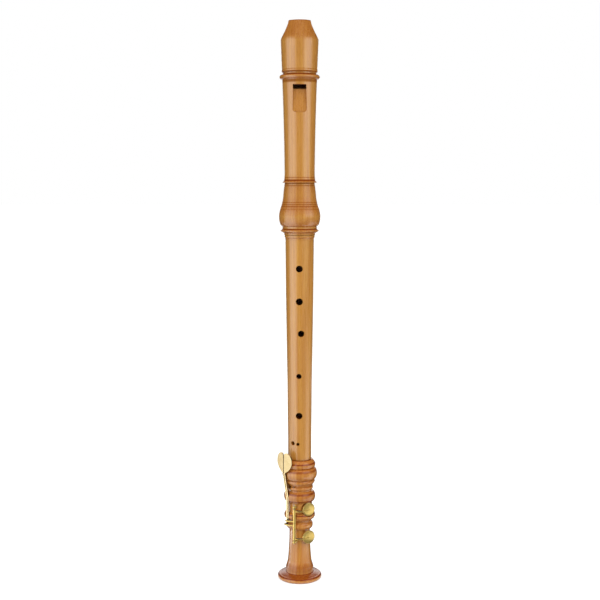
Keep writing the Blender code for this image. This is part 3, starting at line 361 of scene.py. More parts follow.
def turnedWood(name, tone):
    finish, tree, surface = newFinish(name)
    place = addNode(tree, "TexCoord")
    coordinates = place.outputs["Object"]
    figure = noiseAlong(tree, coordinates, *woodGrain["figure"])
    turnedPlank = addNode(tree, "Mapping", values={"Vector": coordinates, "Rotation": (0, 0, tone["turn"]),
                                                   "Scale": (1, 1, woodGrain["plankStretch"])}).outputs["Vector"]
    growth = addNode(tree, "TexWave", {"wave_type": "BANDS", "bands_direction": "X"},
                     {"Vector": turnedPlank, "Scale": tone["rings"], **woodGrain["waves"]}).outputs["Fac"]
    fine = noiseAlong(tree, coordinates, *woodGrain["fine"])
    pores = noiseAlong(tree, coordinates, *woodGrain["pores"])
    body = mixed(tree, "MIX", toneRamp(tree, figure, ((0.30, grey(0.0)), (0.70, grey(1.0)))),
                 (*tone["dark"], 1), (*tone["light"], 1))
    body = mixed(tree, "MULTIPLY", tone["figure"], body,
                 toneRamp(tree, growth, ((0.1, tone["late"]), (0.7, grey(1.0)))))
    body = mixed(tree, "MULTIPLY", woodGrain["fineShare"], body,
                 toneRamp(tree, fine, ((0.3, grey(woodGrain["fineTone"])), (0.62, grey(1.0)))))
    body = mixed(tree, "MULTIPLY", woodGrain["poreShare"], body,
                 toneRamp(tree, pores, ((0.30, woodGrain["poreTone"]), (0.40, grey(1.0)))))

    # stain sinks deeper where the tool has cut across the grain
    normal = addNode(tree, "SeparateXYZ", values={"Vector": place.outputs["Normal"]}).outputs["Z"]
    across = addNode(tree, "Math", {"operation": "ABSOLUTE"}, {0: normal}).outputs[0]
    soaked = toneRamp(tree, across, ((0.02, grey(0.0)), (0.25, grey(tone["soak"] * 0.6)),
                                     (0.75, grey(tone["soak"]))))
    body = mixed(tree, "MIX", soaked, body, mixed(tree, "MULTIPLY", 1.0, body, (*tone["endGrain"], 1)))

    # burnished lines, and painted shade lines and bands at grooves, ledges and edges: height, half width and strength
    # of each
    height = addNode(tree, "SeparateXYZ", values={"Vector": coordinates}).outputs["Z"]
    burntAndShaded = None
    for lineHeight, halfWidth, strength in tone["lines"]:
        offset = addNode(tree, "Math", {"operation": "SUBTRACT"}, {0: height, 1: lineHeight}).outputs[0]
        offset = addNode(tree, "Math", {"operation": "ABSOLUTE"}, {0: offset}).outputs[0]
        here = addNode(tree, "MapRange", values={"Value": offset, "From Min": halfWidth, "From Max": halfWidth * 0.4,
                                                 "To Min": 0.0, "To Max": strength}).outputs["Result"]
        if burntAndShaded is not None:
            here = addNode(tree, "Math", {"operation": "MAXIMUM"}, {0: here, 1: burntAndShaded}).outputs[0]
        burntAndShaded = here
    body = mixed(tree, "MIX", burntAndShaded, body, mixed(tree, "MULTIPLY", 1.0, body, (*tone["lineShadeTone"], 1)))
    # painted shade: the colour darkens in hollows and between parts, found by ambient occlusion
    hollow = addNode(tree, "AmbientOcclusion", {"only_local": True, "samples": 8}, {"Distance": tone["shadeReach"]})
    shade = toneRamp(tree, hollow.outputs["AO"], ((0.25, tone["hollow"]), (0.75, grey(1.0))))
    body = mixed(tree, "MULTIPLY", 1.0, body, shade)
    tree.links.new(body, surface.inputs["Base Color"])
    smooth, rough = (tone["gloss"] + spread for spread in woodGrain["glossSpread"])
    sheen = toneRamp(tree, fine, ((0.2, grey(smooth)), (0.8, grey(rough))))
    tree.links.new(sheen, surface.inputs["Roughness"])

    # burnished lines, painted shade lines and painted shade in hollows keep less of the polish
    plain = addNode(tree, "MapRange", values={"Value": burntAndShaded, "From Min": 0.0, "From Max": 0.5, "To Min": 1.0,
                                              "To Max": 1.0 - tone["dull"]}).outputs["Result"]
    clear = addNode(tree, "MapRange", values={"Value": hollow.outputs["AO"], "From Min": 0.3, "From Max": 0.8,
                                              "To Min": 0.25, "To Max": 1.0}).outputs["Result"]
    polish = addNode(tree, "Math", {"operation": "MULTIPLY"}, {0: plain, 1: clear}).outputs[0]
    for socket, most in (("Specular IOR Level", tone["shine"]), ("Coat Weight", tone["varnish"])):
        share = addNode(tree, "Math", {"operation": "MULTIPLY"}, {0: polish, 1: most}).outputs[0]
        tree.links.new(share, surface.inputs[socket])
    surface.inputs["Coat Roughness"].default_value = woodGrain["coatRoughness"]
    bumped(tree, surface, fine, *woodGrain["bump"])
    return finish


# the hollow colour paints shade into seams and hollows; the side colour paints shade onto narrow side faces
brassLook = {"cloud": (1.0, 240.0, 4.0), "grain": (0.2, 5200.0, 2.0), "hollow": (0.50, 0.36, 0.20),
             "shadeReach": 0.0008, "sideShade": (0.20, 0.12, 0.07), "metallic": 0.82, "roughness": (0.26, 0.40),
             "bump": (0.10, 0.00005)}


def brassFinish(name, dark, light, shadedSide=None):
    finish, tree, surface = newFinish(name)
    place = addNode(tree, "TexCoord")
    coordinates = place.outputs["Object"]
    cloud = noiseAlong(tree, coordinates, *brassLook["cloud"])
    grain = noiseAlong(tree, coordinates, *brassLook["grain"])
    base = toneRamp(tree, cloud, ((0.3, dark), (0.7, light)))
    # painted shade: the colour darkens in hollows and seams, found by ambient occlusion
    hollow = addNode(tree, "AmbientOcclusion", {"only_local": True, "samples": 8},
                     {"Distance": brassLook["shadeReach"]})
    base = mixed(tree, "MULTIPLY", 1.0, base,
                 toneRamp(tree, hollow.outputs["AO"], ((0.2, brassLook["hollow"]), (0.6, grey(1.0)))))
    if shadedSide is not None:
        # painted shade: faces turned towards this direction, the narrow sides, are darkened in the colour
        turned = addNode(tree, "VectorMath", {"operation": "DOT_PRODUCT"},
                         {0: place.outputs["Normal"], 1: shadedSide}).outputs["Value"]
        turned = addNode(tree, "Math", {"operation": "ABSOLUTE"}, {0: turned}).outputs[0]
        base = mixed(tree, "MULTIPLY", 1.0, base,
                     toneRamp(tree, turned, ((0.60, grey(1.0)), (0.85, brassLook["sideShade"]))))
    tree.links.new(base, surface.inputs["Base Color"])
    surface.inputs["Metallic"].default_value = brassLook["metallic"]
    smooth, rough = brassLook["roughness"]
    tree.links.new(toneRamp(tree, grain, ((0.3, grey(smooth)), (0.7, grey(rough)))), surface.inputs["Roughness"])
    bumped(tree, surface, grain, *brassLook["bump"])
    return finish


steelLook = {"grain": (4.0, 2600.0, 3.0), "roughnessSpread": 0.12, "bump": (0.08, 0.00004)}


def steelFinish(name, light, dark, polish):
    finish, tree, surface = newFinish(name)
    coordinates = addNode(tree, "TexCoord").outputs["Object"]
    grain = noiseAlong(tree, coordinates, *steelLook["grain"])
    tree.links.new(toneRamp(tree, grain, ((0.3, dark), (0.7, light))), surface.inputs["Base Color"])
    surface.inputs["Metallic"].default_value = 1.0
    tree.links.new(toneRamp(tree, grain, ((0.3, grey(polish)), (0.7, grey(polish + steelLook["roughnessSpread"])))),
                   surface.inputs["Roughness"])
    bumped(tree, surface, grain, *steelLook["bump"])
    return finish


def softFinish(name, dark, light, scale, rough, bump, sheen=0.0):
    # cork, felt and pad skin: flecks at two sizes and a matt surface
    finish, tree, surface = newFinish(name)
    coordinates = addNode(tree, "TexCoord").outputs["Object"]
    cells = addNode(tree, "TexVoronoi", values={"Vector": coordinates, "Scale": scale}).outputs["Distance"]
    flecks = noiseAlong(tree, coordinates, 1.0, scale * 0.6, 5.0, 0.65)
    base = mixed(tree, "MIX", flecks, (*dark, 1), (*light, 1))
    base = mixed(tree, "MULTIPLY", 0.6, base, toneRamp(tree, cells, ((0.1, grey(0.6)), (0.5, grey(1.0)))))
    tree.links.new(base, surface.inputs["Base Color"])
    tree.links.new(toneRamp(tree, flecks, ((0.3, grey(rough)), (0.7, grey(min(1.0, rough + 0.1))))),
                   surface.inputs["Roughness"])
    surface.inputs["Sheen Weight"].default_value = sheen
    bumped(tree, surface, flecks, bump, 0.00025)
    return finish


print("mixing the finishes")
# each lines table holds burnished lines and painted shade where grooves, ledges and edges fall dark
headWood = turnedWood("headWood", {
    "dark": (0.50, 0.205, 0.032), "light": (0.60, 0.285, 0.052), "late": (0.86, 0.74, 0.60),
    "figure": 0.35, "rings": 95.0, "turn": 0.3, "soak": 1.0, "endGrain": (0.78, 0.56, 0.36),
    "hollow": (0.64, 0.38, 0.15), "shadeReach": 0.002,
    "lines": ((0.6494, 0.0008, 0.60), (0.6420, 0.0140, 0.16), (0.5957, 0.0006, 0.45), (0.5935, 0.0006, 0.60),
              (0.5899, 0.0013, 0.98), (0.5826, 0.0022, 0.60), (0.4745, 0.0006, 0.55), (0.4712, 0.0013, 0.95),
              (0.4676, 0.0006, 0.45), (0.4651, 0.0007, 0.60), (0.4520, 0.0300, 0.20), (0.4461, 0.0006, 0.65),
              (0.4438, 0.0006, 0.65), (0.4415, 0.0006, 0.80), (0.4381, 0.0005, 0.50), (0.4156, 0.0009, 0.95),
              (0.4087, 0.0006, 0.50)),
    "lineShadeTone": (0.42, 0.20, 0.05), "gloss": 0.27, "shine": 0.9, "varnish": 0.35, "dull": 0.9})
middleWood = turnedWood("middleWood", {
    "dark": (0.49, 0.205, 0.030), "light": (0.59, 0.275, 0.048), "late": (0.86, 0.74, 0.60),
    "figure": 0.35, "rings": 85.0, "turn": 1.1, "soak": 1.0, "endGrain": (0.78, 0.56, 0.36),
    "hollow": (0.58, 0.32, 0.12), "shadeReach": 0.002, "lines": ((0.4086, 0.0006, 0.20),),
    "lineShadeTone": (0.42, 0.20, 0.05), "gloss": 0.27, "shine": 0.9, "varnish": 0.35, "dull": 0.9})
footWood = turnedWood("footWood", {
    "dark": (0.48, 0.175, 0.028), "light": (0.60, 0.265, 0.044), "late": (0.84, 0.66, 0.52),
    "figure": 0.4, "rings": 90.0, "turn": 0.7, "soak": 0.5, "endGrain": (0.72, 0.46, 0.30),
    "hollow": (0.88, 0.72, 0.55), "shadeReach": 0.002,
    "lines": ((0.1450, 0.0006, 0.65), (0.1408, 0.0012, 0.95), (0.1322, 0.0017, 0.70), (0.1085, 0.0010, 0.20),
              (0.1046, 0.0016, 0.85), (0.1005, 0.0030, 0.25), (0.0966, 0.0010, 0.90), (0.0945, 0.0008, 0.30),
              (0.0797, 0.0009, 1.00), (0.0712, 0.0009, 0.50), (0.0140, 0.0068, 0.46), (0.0083, 0.0007, 0.98),
              (0.0068, 0.0018, 0.80), (0.0051, 0.0010, 0.98)),
    "lineShadeTone": (0.44, 0.20, 0.06), "gloss": 0.22, "shine": 0.75, "varnish": 0.40, "dull": 0.3})
blockWood = turnedWood("blockWood", {
    "dark": (0.42, 0.20, 0.10), "light": (0.58, 0.33, 0.19), "late": (0.75, 0.6, 0.55),
    "figure": 0.5, "rings": 160.0, "turn": 0.2, "soak": 0.5, "endGrain": (0.7, 0.55, 0.45),
    "hollow": (0.6, 0.45, 0.35), "shadeReach": 0.002, "lines": ((0.5790, 0.0003, 1.0),),
    "lineShadeTone": (0.8, 0.7, 0.6), "gloss": 0.60, "shine": 0.3, "varnish": 0.0, "dull": 0.0})
brass = brassFinish("satinBrass", (0.70, 0.48, 0.12), (0.81, 0.58, 0.18))
steel = steelFinish("plainSteel", (0.72, 0.71, 0.69), (0.52, 0.52, 0.52), 0.22)
springSteel = steelFinish("blueSteel", (0.22, 0.27, 0.42), (0.10, 0.12, 0.20), 0.28)
cork = softFinish("corkRing", (0.28, 0.14, 0.06), (0.62, 0.42, 0.24), 900.0, 0.8, 0.5)
felt = softFinish("darkFelt", (0.02, 0.02, 0.022), (0.07, 0.068, 0.07), 4200.0, 0.9, 0.7, 0.4)
padSkin = softFinish("padSkin", (0.50, 0.36, 0.20), (0.72, 0.58, 0.38), 2400.0, 0.55, 0.25)

print("turning the foot")
footSizes = {"pinHeight": 0.1138, "pinRadius": 0.0130, "rodAzimuth": -20.0, "rodRadius": 0.0185, "padAzimuth": 44.0,
             "leverAzimuth": -54.0, "padHeights": (0.0868, 0.0535), "postHeights": (0.0906, 0.0487),
             "postSurfaces": (0.0146, 0.0121),
             "bore": ((0.0126, 0.1450), (0.0126, 0.1180), (0.0083, 0.1180), (0.0077, 0.0120), (0.0086, 0.0)),
             "lines": (0.0830, 0.0932),
             "leverSlot": ((0.0161, 0.0685), (0.0161, 0.1115), (0.0107, 0.1115), (0.0107, 0.1163), (0.0184, 0.1163),
                           (0.0199, 0.1285), (0.0199, 0.13725), (0.045, 0.13725), (0.045, 0.0685)),
             "slotWidth": 0.0056, "pinHole": 0.0011,
             "keyFlat": ((0.0160, 0.0509), (0.045, 0.0509), (0.045, 0.0962), (0.0160, 0.0962)), "flatWidth": 0.0060,
             "padSeat": 0.0092, "seatFloor": 0.0111, "toneHole": 0.0036, "postHole": 0.0013, "postDepth": 0.0031}
footOutline = TurnedOutline(0.0228, 0.0)
footOutline.swell(0.0261, 0.0026)
footOutline.fall(0.0234, 0.0032)
footOutline.bow(0.0163, 0.0024, 0.0002)
footOutline.line(0.0163, 0.0056)
footOutline.line(0.0141, 0.0076)
footOutline.bow(0.0121, 0.0397, -0.00055)
footOutline.bead(0.0156, 0.0086, 0.0134)
footOutline.line(0.0134, 0.0030)
footOutline.bead(0.0182, 0.0092, 0.0146)
footOutline.line(0.0146, 0.0121)
footOutline.bead(0.0185, 0.0130, 0.0142)
footOutline.line(0.0142, 0.0020)
footOutline.bead(0.0158, 0.0040, 0.0146)
footOutline.line(0.0180, 0.0050)
footOutline.fall(0.0166, 0.0030)
footOutline.bead(0.0205, 0.0140, 0.0166)
footOutline.swell(0.0186, 0.0045)
footOutline.bow(0.0147, 0.0055, 0.0005)


def leverPlane(along=0.0):
    return sideView(footSizes["leverAzimuth"], along)


def pinFrame(along=0.0):
    azimuth = footSizes["leverAzimuth"]
    return axesAt(outwards(azimuth), Vector((0, 0, 1)), -sideways(azimuth),
                  spot(azimuth, footSizes["pinRadius"], footSizes["pinHeight"], along))


footTools = [
    chisel(footSizes["leverSlot"], footSizes["slotWidth"], leverPlane()),
    drill(footSizes["pinHole"], pinFrame(reach), 2 * reach, 24),
    chisel(footSizes["keyFlat"], footSizes["flatWidth"], sideView(footSizes["rodAzimuth"])),
]
for height in footSizes["padHeights"]:
    footTools.append(drill(footSizes["padSeat"], facing(footSizes["padAzimuth"], footSizes["seatFloor"], height),
                           sides=64))
    footTools.append(drill(footSizes["toneHole"], facing(footSizes["padAzimuth"], 0.0, height)))
for height, surface in zip(footSizes["postHeights"], footSizes["postSurfaces"]):
    footTools.append(drill(footSizes["postHole"],
                           facing(footSizes["rodAzimuth"], surface - footSizes["postDepth"], height), sides=24))
footProfile = stepped(softened(scribed(footOutline.points, footSizes["lines"])), 0.003)
footMesh = carved("footJointLook", footProfile + stepped(footSizes["bore"], 0.006), footTools)
addPiece("footJointLook", footMesh, "foot", footWood, "foot_wood", "foot_joint")

print("turning the middle joint")
middleSizes = {"shoulder": 0.1453,
               "holes": ((0.2249, -1.5, 0.0078), (0.1870, -1.5, 0.0081), (0.1498, 6.5, 0.0075),
                         (0.1000, -3.5, 0.0061), (0.0532, -2.9, 0.0078), (0.0195, -8.6, 0.0038),
                         (0.0203, -36.0, 0.0050)),
               "thumb": (0.2369, 180.0, 0.0068), "tenonLow": 0.1186, "tenonHigh": 0.4399,
               "corkLow": 0.1208, "corkLength": 0.019}
middleOutline = TurnedOutline(0.0123, middleSizes["tenonLow"])
middleOutline.line(0.0123, middleSizes["corkLow"] - gap - middleSizes["tenonLow"])
middleOutline.line(0.0110)
middleOutline.line(0.0110, middleSizes["corkLength"] + 2 * gap)
middleOutline.line(0.0123)
middleOutline.line(0.0123, 0.0052)
middleOutline.line(0.0136)
middleOutline.line(0.0136, 0.0260)
middleOutline.line(0.0144, 0.0660)
middleOutline.line(0.0160, 0.1060)
middleOutline.line(0.0165, 0.0600)
middleOutline.bead(0.0167, 0.0018, 0.0165, 3)
middleOutline.bead(0.0174, 0.0034, 0.0174, 3)
middleOutline.line(0.0156)
middleOutline.line(0.0156, 0.0052)
middleOutline.line(0.0143)
middleOutline.line(0.0143, middleSizes["corkLength"] + 2 * gap)
middleOutline.line(0.0156)
middleOutline.line(0.0156, middleSizes["tenonHigh"] - middleOutline.points[-1][1])
middleTools = [drill(diameter / 2, facing(azimuth, 0.0, middleSizes["shoulder"] + rise))
               for rise, azimuth, diameter in (*middleSizes["holes"], middleSizes["thumb"])]
middleBore = ((0.0123, middleSizes["tenonHigh"]), (0.0086, middleSizes["tenonLow"]))
middleMesh = carved("middleJointLook", stepped(softened(middleOutline.points)) + stepped(middleBore, 0.006),
                    middleTools)
addPiece("middleJointLook", middleMesh, "middle", middleWood, "wood", "middle_joint")

print("turning the head")
headSizes = {"base": 0.4088, "top": 0.6498, "bore": 0.0123, "socket": 0.0159, "socketTop": 0.4408,
             "beakBase": 0.6291, "windowTop": 0.5785, "windowBase": 0.5736, "windowWidth": 0.0152,
             "windwayRoof": 0.0131,
             "lines": (0.4381, 0.4415, 0.4438, 0.4461, 0.4651, 0.4676, 0.4745, 0.5957)}
stemSizes = {"base": 0.4775, "low": 0.0174, "high": 0.0199, "rise": 0.1073, "bow": -0.0004}
headOutline = TurnedOutline(0.0180, headSizes["base"])
headOutline.line(0.0180, 0.0018)
headOutline.line(0.0220, 0.0024)
headOutline.line(0.0220, 0.0010)
headOutline.line(0.0199, 0.0018)
headOutline.line(0.0199, 0.0028)
headOutline.swell(0.0240, 0.0117, 12)
headOutline.bow(0.0213, 0.0115, 0.0005)
headOutline.bow(0.0188, 0.0147, -0.0005)
headOutline.line(0.0173, 0.0117)
headOutline.line(0.0197, 0.0004)
headOutline.line(0.0197, 0.0007)
headOutline.line(0.0180, 0.0016)
headOutline.line(stemSizes["low"], 0.0066)
headOutline.bow(stemSizes["high"], stemSizes["rise"], stemSizes["bow"], 24)
headOutline.bead(0.0231, 0.0058, 0.0191)
headOutline.line(0.0191, 0.0018)
headOutline.bead(0.0205, 0.0036, 0.0203)
headOutline.line(0.0216, 0.0331)
headOutline.line(0.0156, 0.0207)


beakSizes = {"lowWidth": 0.0219, "tipWidth": 0.0129, "rise": 0.0177, "hollow": -0.0008, "tipFlat": 0.0114,
             "cornerWidth": 0.0015, "cornerHeight": 0.0030, "scoopTip": -0.0030, "scoopStart": 0.0216,
             "scoopLength": 0.054, "scoopRadius": 0.075}


def beakFront():
    # front view that the head keeps: wide below, hollow-sided to the tip
    side = TurnedOutline(beakSizes["lowWidth"], headSizes["beakBase"])
    side.bow(beakSizes["tipWidth"], beakSizes["rise"], beakSizes["hollow"], 12)
    points = [(reach, headSizes["base"] - reach), (reach, headSizes["beakBase"] - reach)] + side.points
    for step in range(1, 9):
        turn = math.pi / 2 * step / 8
        points.append((beakSizes["tipFlat"] + beakSizes["cornerWidth"] * math.cos(turn),
                       headSizes["top"] + gap - beakSizes["cornerHeight"] * (1 - math.sin(turn))))
    return points + [(-across, height) for across, height in reversed(points)]


def beakScoop():
    tip = Vector((beakSizes["scoopTip"], headSizes["top"]))
    start = Vector((beakSizes["scoopStart"], headSizes["top"] - beakSizes["scoopLength"]))
    chord = tip - start
    radius = beakSizes["scoopRadius"]
    away = Vector((chord.y, -chord.x)).normalized()
    centre = (tip + start) / 2 + away * math.sqrt(radius ** 2 - (chord.length / 2) ** 2)
    return drill(radius, axesAt(Vector((0, 0, 1)), Vector((0, 1, 0)), Vector((-1, 0, 0)),
                                Vector((reach, centre.x, centre.y))), 2 * reach, 256)


rampSizes = {"length": 0.0268, "width": 0.0160, "corner": 0.0040, "lip": 0.0129, "overlap": 0.00245,
             "depth": 0.0019, "side": 0.0001}


def rampTool():
    top, low = headSizes["windowWidth"] / 2 - rampSizes["side"], rampSizes["width"] / 2
    length, corner = rampSizes["length"], rampSizes["corner"]
    points = [(top, rampSizes["overlap"]), (top, 0.0)]
    for step in range(9):
        turn = math.pi / 2 * step / 8
        points.append((low - corner * (1 - math.cos(turn)), -length + corner * (1 - math.sin(turn))))
    points += [(-across, height) for across, height in reversed(points)]

    # the ramp's foot lies just under the stem's surface there
    share = (headSizes["windowBase"] - length - stemSizes["base"]) / stemSizes["rise"]
    surface = (stemSizes["low"] + (stemSizes["high"] - stemSizes["low"]) * share
               + 4 * stemSizes["bow"] * share * (1 - share))
    tilt = math.atan2(surface - rampSizes["depth"] - rampSizes["lip"], length)
    return chisel(points, reach, facing(0.0, rampSizes["lip"], headSizes["windowBase"])
                  @ Matrix.Rotation(-tilt, 4, "X") @ Matrix.Translation((0, 0, reach / 2)))


windwayLength = headSizes["top"] - headSizes["windowTop"]
windwayMiddle = (headSizes["top"] + headSizes["windowTop"]) / 2
headTools = [
    beakScoop(),
    boxTool((headSizes["windowWidth"], windwayLength + 2 * gap, headSizes["windwayRoof"]),
            facing(0.0, headSizes["windwayRoof"] / 2, windwayMiddle)),
    boxTool((headSizes["windowWidth"], headSizes["windowTop"] - headSizes["windowBase"], reach),
            facing(0.0, reach / 2, (headSizes["windowTop"] + headSizes["windowBase"]) / 2)),
    rampTool(),
]
headBore = ((headSizes["bore"], headSizes["top"]), (headSizes["bore"], headSizes["socketTop"]),
            (headSizes["socket"], headSizes["socketTop"]), (headSizes["socket"], headSizes["base"]))
headProfile = stepped(softened(scribed(headOutline.points, headSizes["lines"])))
headMesh = carved("headJointLook", headProfile + stepped(headBore, 0.006), headTools,
                  keep=[chisel(beakFront(), 2 * reach, facing(0.0))])
addPiece("headJointLook", headMesh, "head", headWood, "wood", "head_joint")

print("fitting the double key")
keySizes = {"openAngle": 12.0, "cupRadius": 0.0079, "cupFloor": 0.0139, "cupWall": 0.0005, "crown": 0.0014,
            "depth": 0.0015, "edge": 0.00012, "rimRise": 0.00005, "tubeRadius": 0.0016, "holeRadius": 0.00105,
            "armDrop": 0.0012, "armRadii": (0.00085, 0.0008, 0.0008, 0.0008, 0.0007), "rimAzimuth": 14.4,
            "tailAxis": 0.0204, "kneeAlong": 0.0033, "tailRadii": (0.0009, 0.0009, 0.00085),
            "tailHeights": (0.0733, 0.0685), "tailEnds": (0.0002, -0.0022)}


def keySwing():
    axis = spot(footSizes["rodAzimuth"], footSizes["rodRadius"], 0.0)
    return (Matrix.Translation(axis) @ Matrix.Rotation(-math.radians(keySizes["openAngle"]), 4, "Z")
            @ Matrix.Translation(-axis))


def padKey(name, body, nodeName, which, bottom, top):
    padHeight, tailHeight = footSizes["padHeights"][which], keySizes["tailHeights"][which]
    shape = bmesh.new()
    rodSpot = spot(footSizes["rodAzimuth"], footSizes["rodRadius"], 0.0)
    outer, inner, edge = keySizes["tubeRadius"], keySizes["holeRadius"], keySizes["edge"]
    tube = [(inner, bottom), (outer - edge, bottom), (outer, bottom + edge), (outer, top - edge), (outer - edge, top),
            (inner, top)]
    spun(shape, tube, 32, Matrix.Translation(rodSpot))

    swing = keySwing()
    radius, crown, depth = keySizes["cupRadius"], keySizes["crown"], keySizes["depth"]
    inside, rim = radius - keySizes["cupWall"], keySizes["rimRise"]
    cup = [(0.0, 0.0), (inside, 0.0), (inside, -depth), (radius - edge, -depth), (radius, -depth + edge),
           (radius, rim)]
    for step in range(1, 13):
        turn = math.pi / 2 * step / 12
        cup.append((radius * math.cos(turn) if step < 12 else 0.0, rim + (crown - rim) * math.sin(turn)))
    spun(shape, cup, 64, swing @ facing(footSizes["padAzimuth"], keySizes["cupFloor"], padHeight), closed=False)

    armHeight = padHeight - keySizes["armDrop"]
    crownRadius = keySizes["cupFloor"] + crown
    route = [(footSizes["rodAzimuth"], footSizes["rodRadius"], armHeight), (-5.8, 0.0182, armHeight),
             (keySizes["rimAzimuth"], 0.0170, armHeight), (32.0, crownRadius + 0.0006, (armHeight + padHeight) / 2),
             (footSizes["padAzimuth"], crownRadius - 0.0003, padHeight)]
    roundBar(shape, [swing @ spot(*point) for point in route], keySizes["armRadii"])

    tail = [spot(footSizes["rodAzimuth"], footSizes["rodRadius"], tailHeight),
            spot(footSizes["leverAzimuth"], keySizes["tailAxis"], tailHeight, keySizes["kneeAlong"]),
            spot(footSizes["leverAzimuth"], keySizes["tailAxis"], tailHeight, keySizes["tailEnds"][which])]
    roundBar(shape, tail, keySizes["tailRadii"], rings=24)
    addPiece(name, finishMesh(shape, name), body, brass, "brass", nodeName)


padKey("upperKeyLook", "c_sharp_key", "c_sharp_key", 0, 0.07195, 0.0882)
padKey("lowerKeyLook", "c_key", "c_key", 1, 0.0511, 0.07165)

leverSizes = {"width": 0.0015, "space": 0.0014, "rounding": 0.00028, "tipFront": 0.0182, "tipBack": 0.0164,
              "tipDrop": 0.0016, "bendLow": 0.1005, "bendHigh": 0.1285, "upperFront": 0.0228, "upperBack": 0.0210,
              "upperTop": 0.14966, "topBack": 0.0220, "taperStart": 0.14366, "eyeRadius": 0.0020, "split": 0.00035,
              "touchLength": 0.0242, "touchWidth": 0.0116, "touchRise": 0.0165, "touchFace": 0.0231,
              "touchThickness": 0.0012, "touchRounding": 0.00035, "touchTurn": 18.0}


def leverOutline(tipHeight):
    pinHeight, pinRadius, eye = footSizes["pinHeight"], footSizes["pinRadius"], leverSizes["eyeRadius"]
    tipFront, tipBack, upperBack = leverSizes["tipFront"], leverSizes["tipBack"], leverSizes["upperBack"]
    bendLow, bendHigh = leverSizes["bendLow"], leverSizes["bendHigh"]
    slope = (upperBack - tipBack) / (bendHigh - bendLow)
    points = [(tipFront, tipHeight), (tipFront, bendLow), (leverSizes["upperFront"], bendHigh),
              (leverSizes["upperFront"], leverSizes["upperTop"]), (leverSizes["topBack"], leverSizes["upperTop"]),
              (upperBack, leverSizes["taperStart"]), (upperBack, bendHigh),
              (tipBack + slope * (pinHeight + eye - bendLow), pinHeight + eye)]
    for step in range(13):
        turn = math.pi * step / 12
        points.append((pinRadius - eye * math.sin(turn), pinHeight + eye * math.cos(turn)))
    return points + [(tipBack + slope * (pinHeight - eye - bendLow), pinHeight - eye), (tipBack, bendLow),
                     (tipBack, tipHeight)]


def touchOutline(side):
    leaf = ((0.0, 0.0), (0.40, 0.10), (0.86, 0.34), (1.0, 0.58), (0.82, 0.87), (0.45, 1.0), (0.12, 0.985),
            (0.0, 0.90))
    curve = bpy.data.curves.new("leaf", "CURVE")
    curve.dimensions = "2D"
    curve.resolution_u = 8
    spline = curve.splines.new("BEZIER")
    spline.bezier_points.add(len(leaf) - 1)
    for index, (point, (across, up)) in enumerate(zip(spline.bezier_points, leaf)):
        point.co = (side * (leverSizes["split"] + across * leverSizes["touchWidth"]),
                    up * leverSizes["touchLength"], 0.0)
        corner = index in (0, len(leaf) - 1)
        point.handle_left_type = point.handle_right_type = "VECTOR" if corner else "AUTO"
    spline.use_cyclic_u = True
    holder = bpy.data.objects.new("leaf", curve)
    bpy.context.scene.collection.objects.link(holder)
    bpy.context.view_layer.update()
    mesh = bpy.data.meshes.new_from_object(holder.evaluated_get(bpy.context.evaluated_depsgraph_get()))
    bpy.data.objects.remove(holder, do_unlink=True)
    closest = 0.00002
    outline = []
    for vertex in mesh.vertices:
        point = (vertex.co.x, vertex.co.y)
        if not outline or (Vector(point) - Vector(outline[-1])).length > closest:
            outline.append(point)
    if (Vector(outline[0]) - Vector(outline[-1])).length < closest:
        outline.pop()
    return outline if side > 0 else outline[::-1]


def seesawLever(name, body, nodeName, side, tailHeight):
    shape = bmesh.new()
    along = side * (leverSizes["space"] + leverSizes["width"]) / 2
    slab(shape, leverOutline(tailHeight - leverSizes["tipDrop"]), leverSizes["width"], leverPlane(along),
         leverSizes["rounding"], 4)
    face = footSizes["leverAzimuth"] + (leverSizes["touchTurn"] if side > 0 else 0.0)
    base = spot(footSizes["leverAzimuth"], leverSizes["touchFace"], footSizes["pinHeight"] + leverSizes["touchRise"])
    touchFrame = axesAt(sideways(face), Vector((0, 0, 1)), outwards(face), base)
    slab(shape, touchOutline(side), leverSizes["touchThickness"], touchFrame, leverSizes["touchRounding"], 4)
    addPiece(name, finishMesh(shape, name), body, leverBrass, "brass", nodeName)


# the levers' narrow side faces get painted shade
leverBrass = brassFinish("leverBrass", (0.62, 0.46, 0.22), (0.72, 0.56, 0.30),
                         sideways(footSizes["leverAzimuth"]))
seesawLever("frontLeverLook", "c_sharp_lever", "c_sharp_lever", 1, keySizes["tailHeights"][0])
seesawLever("rearLeverLook", "c_lever", "c_lever", -1, keySizes["tailHeights"][1])

postSizes = {"stem": 0.0010, "sunk": 0.0025, "collar": 0.0022, "collarRise": 0.0006, "edge": 0.0001,
             "neck": 0.0012, "neckRise": 0.00075, "ball": 0.0021}


def ballPost(name, nodeName, height, surface):
    shape = bmesh.new()
    base, stem, foot = surface + gap, postSizes["stem"], surface - postSizes["sunk"]
    collar, rise, edge = postSizes["collar"], postSizes["collarRise"], postSizes["edge"]
    ball, neck = postSizes["ball"], postSizes["neck"]
    post = [(0.0, foot), (stem, foot), (stem, base), (collar - edge, base), (collar, base + edge),
            (collar, base + rise), (collar - 2 * edge, base + rise + edge), (neck, base + postSizes["neckRise"])]
    spread = math.asin(neck / ball)
    for step in range(15):
        turn = spread + (math.pi - spread) * step / 14
        post.append((max(ball * math.sin(turn), 0.0) if step < 14 else 0.0,
                     footSizes["rodRadius"] - ball * math.cos(turn)))
    spun(shape, post, 32, facing(footSizes["rodAzimuth"], 0.0, height), closed=False)
    addPiece(name, finishMesh(shape, name), "foot", brass, "brass", nodeName)


for which, (postName, postNode) in enumerate((("upperPostLook", "upper_post"), ("lowerPostLook", "lower_post"))):
    ballPost(postName, postNode, footSizes["postHeights"][which], footSizes["postSurfaces"][which])

